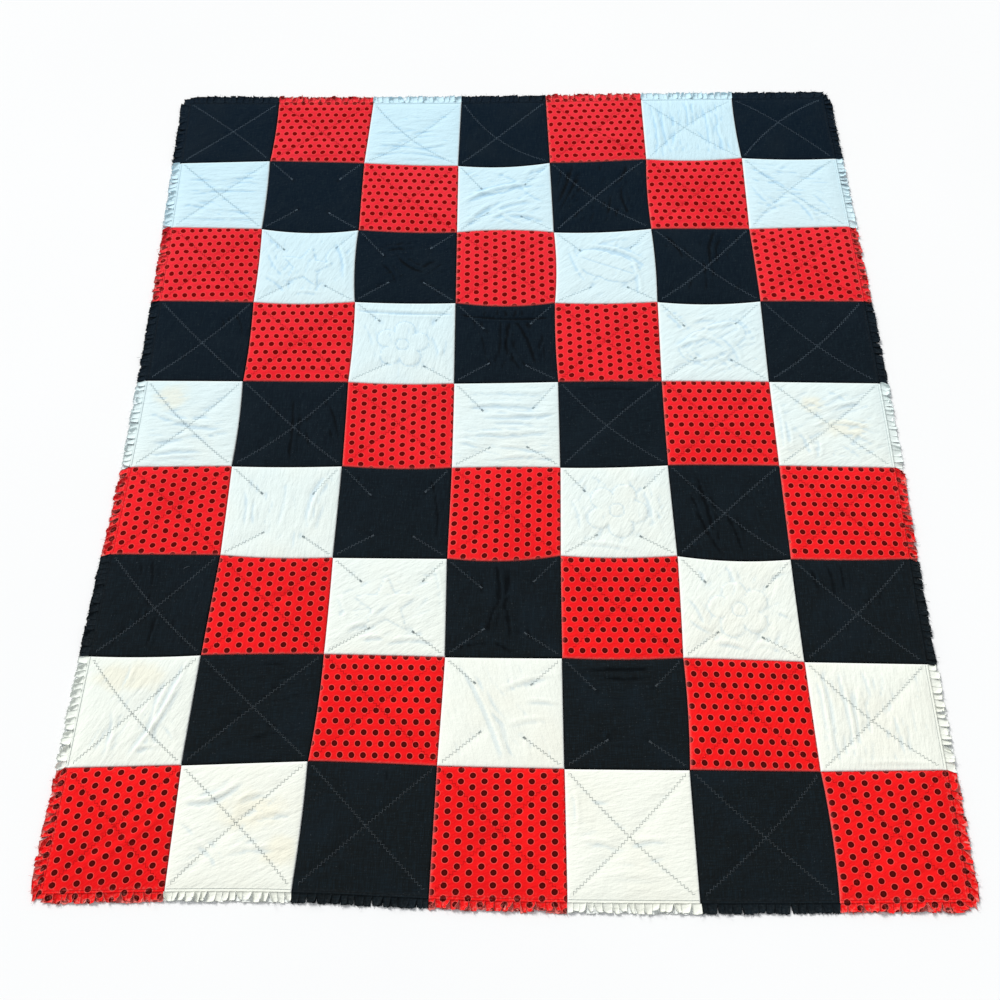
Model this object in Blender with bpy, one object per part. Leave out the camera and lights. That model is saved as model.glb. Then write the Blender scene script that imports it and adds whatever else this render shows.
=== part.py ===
"""Patchwork throw: a rag quilt of near-square patches with a snipped, frayed border, laid out flat.

Metres, +Z up. X runs across the throw, Y from its foot (near) edge to its head (far) edge. The origin is
the middle of the throw's outline, border included, and everything rests on the plane z = 0.
"""
import math
import random

import bmesh
import bpy
import numpy as np
from mathutils import Matrix

# Driving sizes, in metres
PATCH_WIDTH = 0.178           # finished patch between its seams, across the throw
PATCH_LENGTH = 0.1655         # the same from head to foot
COLUMNS = 7
ROWS = 9
CELLS = 8                     # mesh cells along a patch's side

# Heights of the upper face above the floor, in metres
EDGE_HEIGHT = 0.0024          # at the border stitching, where all layers are sewn flat
SEAM_HEIGHT = 0.0028          # in the groove of a seam
QUILTED_HEIGHT = 0.0042       # in the groove of the stitched crosses
LOFT_HEIGHT = 0.0062          # where a patch stands highest
SHOULDER = 0.011              # how far from a seam the cloth takes to rise
STITCH_SHOULDER = 0.012       # the same beside a stitched cross
SHORT_RUN = 0.32              # share of a patch's side that a cut-short cross runs in from its corner
SHARP_ANGLE = 40              # degrees past which an edge is shaded sharp

# Frayed border
GAP = 0.0003                  # between separate solids
STRIP = 0.0028                # width of the strip that the locks grow from
LOCKS = 9                     # locks along one patch's edge
NOTCH = 0.0034                # opening between two locks at their tips
LOCK_TIP = (0.0015, 0.0034)   # lowest and highest corner of a lock's tip
LOCK_SPREAD = 0.0010          # how much longer or shorter than the next one a lock may be
LOCK_LEAN = 0.0007            # how far a lock's tip may lean to one side
CORNER_RADIUS = 0.0215        # round of the border at the throw's corners
CORNER_ANGLE = 41             # degrees that a corner's last lock fans round, so that two don't meet

# How far a seam strays from the even grid, in millimetres, at five places spread evenly along it.
# Cross seams run left to right and stray towards +Y. Down seams run head to foot and stray towards +X.
# columns: name, then the stray at the start, quarter, middle, three quarters and end
CROSS_SEAMS = (
    ("head edge", -6, -7, -4, 3, 7),
    ("row 1 to 2", 6, 1, -6, 13, 13),
    ("row 2 to 3", 9, 0, -5, 2, 10),
    ("row 3 to 4", 1, 0, -3, 1, 4),
    ("row 4 to 5", -1, -5, -5, 0, -3),
    ("row 5 to 6", -5, -2, -5, 2, -2),
    ("row 6 to 7", 3, -1, -1, 0, -3),
    ("row 7 to 8", 0, 5, 1, -1, -8),
    ("row 8 to 9", -3, 7, 1, -2, -2),
    ("foot edge", -6, -1, -11, -12, -8),
)
DOWN_SEAMS = (
    ("left edge", 2, 13, 19, 11, 4),
    ("column 1 to 2", -2, -1, 6, -2, -11),
    ("column 2 to 3", 2, -1, 4, 2, -15),
    ("column 3 to 4", -4, 0, 4, 2, -8),
    ("column 4 to 5", -13, -1, 1, -1, 0),
    ("column 5 to 6", -5, -1, -3, 2, 0),
    ("column 6 to 7", -5, 1, -1, 0, 8),
    ("right edge", -8, -1, 3, -1, 1),
)

# Patches whose stitched cross stops short of the middle, as (row, column) from the head's left corner.
SHORT_CROSSES = (
    (2, 2), (2, 4), (3, 2), (3, 3), (3, 5), (4, 3), (4, 4), (4, 6), (5, 4),
    (6, 2), (6, 3), (6, 5), (7, 3), (7, 4), (7, 6), (8, 4), (8, 5),
)

# Main rucks of the cloth, lying as soft ridges (rise above 0) or troughs (below 0)
# columns: place across and place down in patches, heading in degrees, half length, half width and rise in mm
RUCKS = (
    (4.72, 0.75, 35, 70, 16, 1.3),       # squashed corner of a dotted patch
    (3.00, 3.12, 0, 170, 13, -1.2),      # tuck below a seam
    (3.40, 1.38, 20, 60, 15, 1.1),       # crumpled white patch
    (3.45, 1.62, -25, 55, 14, -0.9),
    (0.55, 4.70, 8, 60, 15, 1.0),        # rippled edge patch
    (3.50, 4.45, -4, 70, 15, 1.0),
    (6.55, 4.55, -14, 65, 15, 1.1),
    (4.35, 5.30, -38, 60, 15, 1.2),
    (5.40, 6.30, -20, 60, 15, 1.1),
    (3.45, 6.40, 88, 65, 14, -1.0),
    (0.80, 7.55, 62, 65, 15, 1.2),
    (6.25, 7.50, 86, 70, 15, 1.1),
    (0.45, 8.35, -38, 60, 15, 1.1),
)

# Frayed border of each side: width of the border beyond its stitching, and the seed of its unevenness
# columns: node, side, width, seed
BORDERS = (
    ("fringe_head", "head", 0.0218, 11),
    ("fringe_foot", "foot", 0.0180, 23),
    ("fringe_left", "left", 0.0195, 37),
    ("fringe_right", "right", 0.0190, 41),
)


def stray(row, t):
    """Stray of one seam in metres at t from 0 to 1: a cubic between each two places of its table row,
    with each place's slope taken from its neighbours."""
    values = np.array(row[1:], dtype=float) / 1000
    slopes = np.gradient(values)
    span = len(values) - 1
    scaled = np.clip(np.asarray(t, dtype=float), 0, 1) * span
    index = np.minimum(scaled.astype(int), span - 1)
    s = scaled - index
    start, end = values[index], values[index + 1]
    return (
        start * (1 + 2 * s) * (1 - s) ** 2
        + end * s * s * (3 - 2 * s)
        + slopes[index] * s * (1 - s) ** 2
        - slopes[index + 1] * s * s * (1 - s)
    )


def between_seams(seams, across, along):
    """Stray at places given in patches: the strays of the two seams on either side, mixed evenly."""
    table = np.array([stray(row, along) for row in seams])
    index = np.minimum(across.astype(int), len(seams) - 2)
    share = across - index
    columns = np.arange(len(across))
    return table[index, columns] * (1 - share) + table[index + 1, columns] * share


def place_on_cloth(p, q):
    """X and Y in metres of places p patches from the left edge and q patches from the head edge."""
    x = (p - COLUMNS / 2) * PATCH_WIDTH + between_seams(DOWN_SEAMS, p, q / ROWS)
    y = (ROWS / 2 - q) * PATCH_LENGTH + between_seams(CROSS_SEAMS, q, p / COLUMNS)
    return x, y


def face_height(p, q):
    """Height of the upper face. Each patch rises from its seams to its loft with a soft shoulder, sinks
    along its stitched cross, and carries the rucks. Along the border it is sewn flat."""
    u, v = p % 1, q % 1
    side_share, end_share = np.minimum(u, 1 - u), np.minimum(v, 1 - v)
    to_seam = np.minimum(side_share * PATCH_WIDTH, end_share * PATCH_LENGTH)
    rise = 1 - np.exp(-to_seam / SHOULDER)
    across_cross = PATCH_WIDTH * PATCH_LENGTH / math.hypot(PATCH_WIDTH, PATCH_LENGTH)
    off_cross = np.minimum(np.abs(u - v), np.abs(u + v - 1)) * across_cross
    row = np.minimum(q.astype(int), ROWS - 1) + 1
    column = np.minimum(p.astype(int), COLUMNS - 1) + 1
    short = np.zeros(len(p), dtype=bool)
    for short_row, short_column in SHORT_CROSSES:
        short |= (row == short_row) & (column == short_column)
    stitched = np.where(short & (np.minimum(side_share, end_share) > SHORT_RUN), 0.0, 1.0)
    sink = (LOFT_HEIGHT - QUILTED_HEIGHT) * stitched * np.exp(-((off_cross / STITCH_SHOULDER) ** 2))
    height = SEAM_HEIGHT + (LOFT_HEIGHT - SEAM_HEIGHT - sink) * rise
    for ruck_p, ruck_q, heading, half_length, half_width, ruck_rise in RUCKS:
        across, up = (p - ruck_p) * PATCH_WIDTH * 1000, (ruck_q - q) * PATCH_LENGTH * 1000
        angle = math.radians(heading)
        along = across * math.cos(angle) + up * math.sin(angle)
        beside = up * math.cos(angle) - across * math.sin(angle)
        bump = np.exp(-((along / half_length) ** 2) - (beside / half_width) ** 2)
        height += ruck_rise / 1000 * bump * rise
    border = (p <= 0) | (q <= 0) | (p >= COLUMNS) | (q >= ROWS)
    return np.where(border, EDGE_HEIGHT, height)


def cloth_material(name, colour, roughness):
    """Plain woven cotton of one colour."""
    material = bpy.data.materials.new(name)
    material.use_nodes = True
    shader = material.node_tree.nodes["Principled BSDF"]
    shader.inputs["Base Color"].default_value = (*colour, 1.0)
    shader.inputs["Roughness"].default_value = roughness
    shader.inputs["Metallic"].default_value = 0.0
    return material


def add_object(name, bm, material, collection):
    """Turns a finished bmesh into a smooth-shaded object with its faces pointing out."""
    bmesh.ops.recalc_face_normals(bm, faces=bm.faces)
    mesh = bpy.data.meshes.new(name)
    bm.to_mesh(mesh)
    bm.free()
    mesh.shade_smooth()
    mesh.set_sharp_from_angle(angle=math.radians(SHARP_ANGLE))
    mesh.materials.append(material)
    obj = bpy.data.objects.new(name, mesh)
    collection.objects.link(obj)
    return obj


def split_along_crosses(faces, place):
    """Cuts each square cell in two along the diagonal that runs the way of its patch's stitched cross."""
    for face in faces:
        p = sum(place[vertex][0] for vertex in face.verts) / 4
        q = sum(place[vertex][1] for vertex in face.verts) / 4
        slope = 1 if (p % 1 - 0.5) * (q % 1 - 0.5) > 0 else -1
        ends = sorted(face.verts, key=lambda vertex: place[vertex][0] + slope * place[vertex][1])
        bmesh.utils.face_split(face, ends[0], ends[-1])


def on_seam(edge, place):
    """Whether an edge of the sheet lies along a seam or along the border."""
    (p, q), (next_p, next_q) = [place[vertex] for vertex in edge.verts]
    return (p == next_p and p % 1 == 0) or (q == next_q and q % 1 == 0)


def build_quilt(material, collection):
    """The pieced and quilted cloth: a grid sheet given thickness, its upper face raised by the height
    rule and its underside left flat, in one coarse face for each patch."""
    bm = bmesh.new()
    bmesh.ops.create_grid(bm, x_segments=COLUMNS * CELLS, y_segments=ROWS * CELLS, size=0.5)
    sheet = list(bm.faces)
    extruded = bmesh.ops.extrude_face_region(bm, geom=sheet, use_keep_orig=True)
    upper_verts = {item for item in extruded["geom"] if isinstance(item, bmesh.types.BMVert)}
    upper_faces = [item for item in extruded["geom"] if isinstance(item, bmesh.types.BMFace)]

    verts = list(bm.verts)
    p = np.array([round((vertex.co.x + 0.5) * COLUMNS * CELLS) / CELLS for vertex in verts])
    q = np.array([round((0.5 - vertex.co.y) * ROWS * CELLS) / CELLS for vertex in verts])
    x, y = place_on_cloth(p, q)
    z = face_height(p, q)
    place = {}
    for index, vertex in enumerate(verts):
        place[vertex] = (p[index], q[index])
        vertex.co = (x[index], y[index], z[index] if vertex in upper_verts else 0.0)

    split_along_crosses(upper_faces, place)
    inner = {edge for face in sheet for edge in face.edges if not on_seam(edge, place)}
    bmesh.ops.dissolve_edges(bm, edges=list(inner), use_verts=True)
    underside = [face for face in bm.faces if all(vertex.co.z == 0.0 for vertex in face.verts)]
    bmesh.ops.triangulate(bm, faces=underside, quad_method="BEAUTY", ngon_method="BEAUTY")
    return add_object("quilt", bm, material, collection)


def border_line(side, t):
    """Points of the border stitching at t from 0 to 1, with the direction away from the cloth."""
    along = np.asarray(t, dtype=float)
    still = np.zeros(len(along))
    if side == "head":
        x, y = place_on_cloth(along * COLUMNS, still)
        return x, y, (0.0, 1.0)
    if side == "foot":
        x, y = place_on_cloth(along * COLUMNS, still + ROWS)
        return x, y, (0.0, -1.0)
    if side == "left":
        x, y = place_on_cloth(still, along * ROWS)
        return x, y, (-1.0, 0.0)
    x, y = place_on_cloth(still + COLUMNS, along * ROWS)
    return x, y, (1.0, 0.0)


def lock_tips(count, line_x, line_y, away, width, rng):
    """Two corners of each lock's tip, as (x, y, height) of its start and end. A lock narrows by the
    notch and its length varies. The last one on either side fans out round the throw's corner."""
    roots = np.column_stack((line_x, line_y))
    run = (roots[-1] - roots[0]) / np.linalg.norm(roots[-1] - roots[0])
    away = np.array(away)
    fan = math.radians(CORNER_ANGLE)
    tips = []
    for index in range(count):
        reach = GAP + width + rng.uniform(-LOCK_SPREAD, LOCK_SPREAD)
        lean = rng.uniform(-LOCK_LEAN, LOCK_LEAN)
        corners = []
        for end, inward in ((index, 1), (index + 1, -1)):
            shift, out = inward * NOTCH / 2 + lean, reach
            if end in (0, count):
                shift, out = -inward * CORNER_RADIUS * math.sin(fan), CORNER_RADIUS * math.cos(fan)
            spot = roots[end] + run * shift + away * out
            corners.append((spot[0], spot[1], rng.uniform(*LOCK_TIP)))
        tips.append(corners)
    return tips


def build_border(name, side, width, seed, material, collection):
    """One side's frayed border: a narrow strip just off the border stitching, and a row of locks drawn
    out of its outer face one by one, so that neighbours join only at their roots."""
    count = (COLUMNS if side in ("head", "foot") else ROWS) * LOCKS
    line_x, line_y, away = border_line(side, np.arange(count + 1) / count)
    rng = random.Random(seed)

    bm = bmesh.new()
    bmesh.ops.create_grid(bm, x_segments=count, y_segments=1, size=0.5)
    sheet = list(bm.faces)
    extruded = bmesh.ops.extrude_face_region(bm, geom=sheet, use_keep_orig=True)
    upper = {item for item in extruded["geom"] if isinstance(item, bmesh.types.BMVert)}
    place = {}
    for vertex in bm.verts:
        index = round((vertex.co.x + 0.5) * count)
        outer = vertex.co.y > 0
        place[vertex] = (index, outer, vertex in upper)
        out = GAP + (STRIP if outer else 0.0)
        vertex.co = (
            line_x[index] + away[0] * out,
            line_y[index] + away[1] * out,
            EDGE_HEIGHT if vertex in upper else 0.0,
        )
    outer_wall = [face for face in bm.faces if all(place[vertex][1] for vertex in face.verts)]
    order = sorted(outer_wall, key=lambda face: min(place[vertex][0] for vertex in face.verts))
    tips = lock_tips(count, line_x, line_y, away, width, rng)
    for index, face in enumerate(order):
        roots = [place[vertex] for vertex in face.verts]
        drawn = bmesh.ops.extrude_discrete_faces(bm, faces=[face])["faces"][0]
        for (end, _, is_upper), vertex in zip(roots, drawn.verts):
            x, y, height = tips[index][end - index]
            vertex.co = (x, y, height if is_upper else 0.0)
    return add_object(name, bm, material, collection)


def centre_outline(objects):
    """Slides the finished pieces together, so that the middle of their shared outline is at the origin."""
    corners = np.array([vertex.co for obj in objects for vertex in obj.data.vertices])
    middle = (corners.min(axis=0) + corners.max(axis=0)) / 2
    for obj in objects:
        obj.data.transform(Matrix.Translation((-middle[0], -middle[1], 0.0)))


for obj in list(bpy.data.objects):
    bpy.data.objects.remove(obj)
throw = bpy.data.collections.new("patchwork_throw")
bpy.context.scene.collection.children.link(throw)
patch_cotton = cloth_material("patch_cotton", (0.60, 0.10, 0.10), 0.9)
frayed_cotton = cloth_material("frayed_cotton", (0.62, 0.45, 0.43), 0.95)
pieces = [build_quilt(patch_cotton, throw)]
for border_name, border_side, border_width, border_seed in BORDERS:
    pieces.append(build_border(border_name, border_side, border_width, border_seed, frayed_cotton, throw))
centre_outline(pieces)
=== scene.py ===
"""Patchwork throw of black, dotted red and white cotton, laid out flat on a pale floor.

Metres, +Z up, with +Y towards the throw's head edge. Every patch, its stitched cross, its stitched border
line and its snipped edge are pieces of their own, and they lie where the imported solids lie.
"""
import math

import bpy
import numpy as np
from mathutils import Matrix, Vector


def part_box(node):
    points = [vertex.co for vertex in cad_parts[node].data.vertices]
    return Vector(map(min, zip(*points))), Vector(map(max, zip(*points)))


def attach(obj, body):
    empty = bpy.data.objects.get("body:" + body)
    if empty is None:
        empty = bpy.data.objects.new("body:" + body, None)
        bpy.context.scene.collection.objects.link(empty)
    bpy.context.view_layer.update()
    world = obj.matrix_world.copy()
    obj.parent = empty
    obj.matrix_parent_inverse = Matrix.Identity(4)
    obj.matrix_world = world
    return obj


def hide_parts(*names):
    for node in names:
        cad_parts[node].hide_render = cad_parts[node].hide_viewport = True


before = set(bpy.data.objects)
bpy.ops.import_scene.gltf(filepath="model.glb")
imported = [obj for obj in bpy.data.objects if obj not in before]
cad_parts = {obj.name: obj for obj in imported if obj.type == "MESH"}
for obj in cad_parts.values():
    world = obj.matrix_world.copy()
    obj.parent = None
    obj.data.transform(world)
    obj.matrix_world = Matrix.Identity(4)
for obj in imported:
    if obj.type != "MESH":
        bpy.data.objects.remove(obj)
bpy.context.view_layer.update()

# The pieced cloth: seven columns and nine rows of cotton patches, sewn edge to edge. The seams wander off
# the even grid as the cloth lies. A place is given in patches: p from the left edge, q from the head edge.
PATCH_WIDTH = 0.178
PATCH_LENGTH = 0.1655
COLUMNS = 7
ROWS = 9
THROW_LENGTH = 1.55               # head to foot, with its border
# How far each seam strays, in millimetres, at five places spread evenly along it. Cross seams run left to
# right and stray towards +Y. Down seams run head to foot and stray towards +X.
CROSS_SEAMS = np.array([
    (-6, -7, -4, 3, 7),
    (6, 1, -6, 13, 13),
    (9, 0, -5, 2, 10),
    (1, 0, -3, 1, 4),
    (-1, -5, -5, 0, -3),
    (-5, -2, -5, 2, -2),
    (3, -1, -1, 0, -3),
    (0, 5, 1, -1, -8),
    (-3, 7, 1, -2, -2),
    (-6, -1, -11, -12, -8),
]) / 1000
DOWN_SEAMS = np.array([
    (2, 13, 19, 11, 4),
    (-2, -1, 6, -2, -11),
    (2, -1, 4, 2, -15),
    (-4, 0, 4, 2, -8),
    (-13, -1, 1, -1, 0),
    (-5, -1, -3, 2, 0),
    (-5, 1, -1, 0, 8),
    (-8, -1, 3, -1, 1),
]) / 1000


def stray(values, t):
    """Stray of one seam at t from 0 to 1: a cubic between each two stations, with slopes from neighbours."""
    slopes = np.gradient(values)
    span = len(values) - 1
    scaled = np.clip(t, 0, 1) * span
    index = np.minimum(scaled.astype(int), span - 1)
    s = scaled - index
    start, end = values[index], values[index + 1]
    return (
        start * (1 + 2 * s) * (1 - s) ** 2
        + end * s * s * (3 - 2 * s)
        + slopes[index] * s * (1 - s) ** 2
        - slopes[index + 1] * s * s * (1 - s)
    )


def between_seams(seams, across, along):
    """Stray of a place: the strays of the two seams beside it, mixed by how near it is to each."""
    table = np.array([stray(row, along) for row in seams])
    index = np.clip(across.astype(int), 0, len(seams) - 2)
    share = across - index
    near = np.take_along_axis(table, index[None], 0)[0]
    far = np.take_along_axis(table, index[None] + 1, 0)[0]
    return near * (1 - share) + far * share


def on_even_cloth(p, q):
    """X and Y of places on the cloth, before the outline is centred."""
    x = (p - COLUMNS / 2) * PATCH_WIDTH + between_seams(DOWN_SEAMS, p, q / ROWS)
    y = (ROWS / 2 - q) * PATCH_LENGTH + between_seams(CROSS_SEAMS, q, p / COLUMNS)
    return x, y


quilt_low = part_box("quilt")[0]
edge_stations = np.linspace(0, 1, 8 * ROWS + 1)
left_edge_x = on_even_cloth(edge_stations * 0, edge_stations * ROWS)[0]
edge_stations = np.linspace(0, 1, 8 * COLUMNS + 1)
foot_edge_y = on_even_cloth(edge_stations * COLUMNS, edge_stations * 0 + ROWS)[1]
slide_x = quilt_low.x - left_edge_x.min()
slide_y = quilt_low.y - foot_edge_y.min()


# Corners that are pulled off those lines: q and p of the corner, shift to the right and to the head (mm)
PULLED_CORNERS = (
    (0, 2, 3, 0), (0, 3, 4, 0), (1, 0, 0, -5), (1, 1, -2, 3), (1, 2, -3, 1), (1, 4, 0, 4), (1, 6, 2, 0),
    (2, 0, 0, -2), (2, 2, -1, 2), (2, 5, -1, 4), (2, 6, -3, -1), (3, 0, 0, 2), (3, 2, 2, 2), (3, 3, 0, 2),
    (3, 4, -3, 2), (3, 5, 1, 2), (3, 6, 1, 2), (4, 1, -3, 2), (4, 2, -1, 2), (4, 4, 0, 2), (5, 1, -2, 0),
    (5, 4, 1, 0), (6, 1, 3, 2), (6, 2, -2, 0), (6, 3, -2, -1), (6, 4, 0, 4), (6, 5, 2, 4), (6, 7, 0, 3),
    (7, 1, -1, -1), (7, 3, 2, -1), (7, 5, -2, 2), (7, 7, 0, 2), (8, 1, -3, -2), (8, 2, -2, 2),
    (8, 5, -3, 1), (8, 7, 0, 3), (9, 1, 2, 0),
)
# Seams that bow between two corners: the patch, and how far the seam at its head bows to the head (mm)
BOWED_HEADS = (
    ("r2c3", -2), ("r2c4", -5), ("r2c5", -2), ("r2c6", -7), ("r2c7", -3), ("r3c2", -8), ("r3c3", -3),
    ("r3c4", 6), ("r3c5", -4), ("r4c2", -5), ("r4c3", -2), ("r4c4", -7), ("r4c5", -3), ("r4c6", -6),
    ("r5c3", -3), ("r6c2", -2), ("r6c3", -4), ("r6c4", 2), ("r6c5", -2), ("r7c2", -3), ("r7c4", -7),
    ("r7c5", -4), ("r7c6", -6), ("r7c7", -2), ("r8c1", -2), ("r8c5", -3), ("r9c2", -1),
)
# The same for the seam at a patch's left side, with the bow to the right
BOWED_LEFTS = (
    ("r1c2", 2), ("r2c2", 2), ("r3c2", 2), ("r4c2", 2), ("r5c2", 2), ("r3c3", -3), ("r4c3", 2), ("r8c3", 2),
    ("r9c3", 2), ("r3c5", 3), ("r4c5", -2), ("r2c6", -3), ("r3c6", 2), ("r8c6", 2), ("r1c7", -2),
    ("r9c7", 3),
)


def pull(p, q):
    """Shift of places by those corners and bows. A corner's shift fades evenly to the next corners. A bow is
    a parabola along its seam, and fades evenly to the next seams."""
    x, y = p * 0.0 + q * 0.0, p * 0.0 + q * 0.0
    for corner_q, corner_p, right, up in PULLED_CORNERS:
        near = np.clip(1 - np.abs(p - corner_p), 0, 1) * np.clip(1 - np.abs(q - corner_q), 0, 1)
        x, y = x + near * right / 1000, y + near * up / 1000
    for name, bow in BOWED_HEADS:
        s, off = p - int(name[3]) + 1, q - int(name[1]) + 1
        y = y + np.clip(4 * s * (1 - s), 0, 1) * np.clip(1 - np.abs(off), 0, 1) * bow / 1000
    for name, bow in BOWED_LEFTS:
        s, off = q - int(name[1]) + 1, p - int(name[3]) + 1
        x = x + np.clip(4 * s * (1 - s), 0, 1) * np.clip(1 - np.abs(off), 0, 1) * bow / 1000
    return x, y


def on_cloth(p, q):
    """X and Y of places on the cloth, in the frame's own coordinates."""
    p, q = np.asarray(p, float), np.asarray(q, float)
    x, y = on_even_cloth(p, q)
    pull_x, pull_y = pull(p, q)
    return x + slide_x + pull_x, y + slide_y + pull_y


def cloth_of(row, column):
    """Which of the three cottons a patch is cut from. They follow each other along every row."""
    return ("black", "red", "white")[(column - row) % 3]


def patch_name(row, column):
    """A patch's name, such as r2c3: its row from the head and its column from the left."""
    return f"r{row + 1}c{column + 1}"


# The stitched crosses: a wide zigzag sewn through all layers from corner to corner of a patch. On some
# patches it is four short runs in from the corners, each ended with a bar of tight stitches.
# columns: where each run ends, in hundredths of the patch across and down, head left corner first
SHORT_RUNS = {
    "r2c2": ((27, 29), (74, 28), (36, 68), (66, 72)), "r2c4": ((27, 38), (70, 33), (34, 72), (64, 78)),
    "r3c2": ((27, 28), (77, 26), (36, 71), (68, 74)), "r3c3": ((29, 36), (73, 25), (36, 71), (67, 71)),
    "r3c5": ((27, 29), (74, 27), (37, 76), (68, 77)), "r4c3": ((28, 26), (79, 25), (38, 74), (68, 77)),
    "r4c4": ((31, 34), (74, 27), (37, 74), (68, 78)), "r4c6": ((26, 33), (71, 30), (35, 70), (64, 72)),
    "r5c4": ((30, 37), (73, 35), (38, 76), (67, 76)), "r6c2": ((33, 33), (75, 33), (38, 72), (70, 76)),
    "r6c3": ((31, 34), (76, 29), (37, 74), (68, 76)), "r6c5": ((24, 30), (74, 27), (34, 74), (67, 76)),
    "r7c3": ((29, 28), (78, 26), (38, 72), (70, 74)), "r7c4": ((33, 31), (75, 25), (35, 70), (66, 74)),
    "r7c6": ((25, 27), (74, 29), (33, 72), (64, 76)), "r8c4": ((29, 27), (72, 27), (35, 67), (65, 71)),
    "r8c5": ((28, 31), (74, 27), (37, 73), (66, 74)),
}
# Where the two arms of a full cross meet, in hundredths of the patch across and down
CROSSINGS = {
    "r1c1": (53, 50), "r1c3": (48, 60), "r1c4": (42, 57), "r1c6": (44, 47), "r1c7": (47, 41),
    "r2c1": (48, 51), "r2c5": (44, 53), "r2c7": (44, 48), "r3c6": (50, 53), "r4c1": (51, 54),
    "r4c7": (49, 57), "r5c1": (49, 55), "r5c2": (52, 55), "r5c5": (45, 53), "r5c7": (51, 53),
    "r6c6": (46, 52), "r7c1": (50, 54), "r7c7": (50, 54), "r8c1": (48, 53), "r8c2": (49, 50),
    "r8c7": (48, 55), "r9c2": (49, 49), "r9c3": (49, 50), "r9c5": (49, 53), "r9c6": (51, 53),
}
ARM_START = 0.035                 # share of the patch between a corner and the first stitch
CORNERS = ((0, 0), (1, 0), (0, 1), (1, 1))


def cross_arms(row, column):
    """Lines of a patch's cross, as places across and down it: each bows evenly through the crossing, or
    runs straight in from its corner."""
    name = patch_name(row, column)
    rng = np.random.default_rng(100 * row + column)
    t = np.linspace(0, 1, 60)[:, None]
    if name in SHORT_RUNS:
        arms = []
        for corner, end in zip(CORNERS, SHORT_RUNS[name]):
            start = np.array(corner) + ARM_START * (1 - 2 * np.array(corner))
            arms.append(start + (np.array(end) / 100 - start) * t[::3])
        return arms
    crossing = np.array(CROSSINGS.get(name, 100 * rng.normal(0.495, 0.012, 2))) / 100
    arms = []
    for first, last in ((CORNERS[0], CORNERS[3]), (CORNERS[1], CORNERS[2])):
        start = np.array(first) + ARM_START * (1 - 2 * np.array(first))
        finish = np.array(last) + ARM_START * (1 - 2 * np.array(last))
        bow = crossing - (start + finish) / 2
        arms.append(start + (finish - start) * t + 4 * t * (1 - t) * bow)
    return arms


# The lie of the cloth: each patch stands full between its seams, is drawn down along its cross, and is
# creased by washing. The creases are placed one by one, and short ripples run the way each patch is pulled.
BORDER_STITCH = 0.0031            # height where the border is sewn flat
SEAM = 0.0041                     # height beside a seam
TURNED_EDGE = 0.0014              # height where a patch's turned edge goes down into the seam
LOFT = 0.0060                     # height in the middle of a patch
SHOULDER = 0.012                  # how far from a seam the cloth takes to rise
CROSS_SINK = 0.0011
CROSS_SHOULDER = 0.010
EDGE_ROLL = 0.0006                # how far in from a seam the cloth has turned over
BORDER_MARGIN = 0.0035            # cloth left whole between the border stitching and the snips
MARGIN_RISE = 0.0005
MARGIN_SHOULDER = 0.0012
LOWEST_FACE = 0.0016              # no crease or stitch draws a face down further
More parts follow.
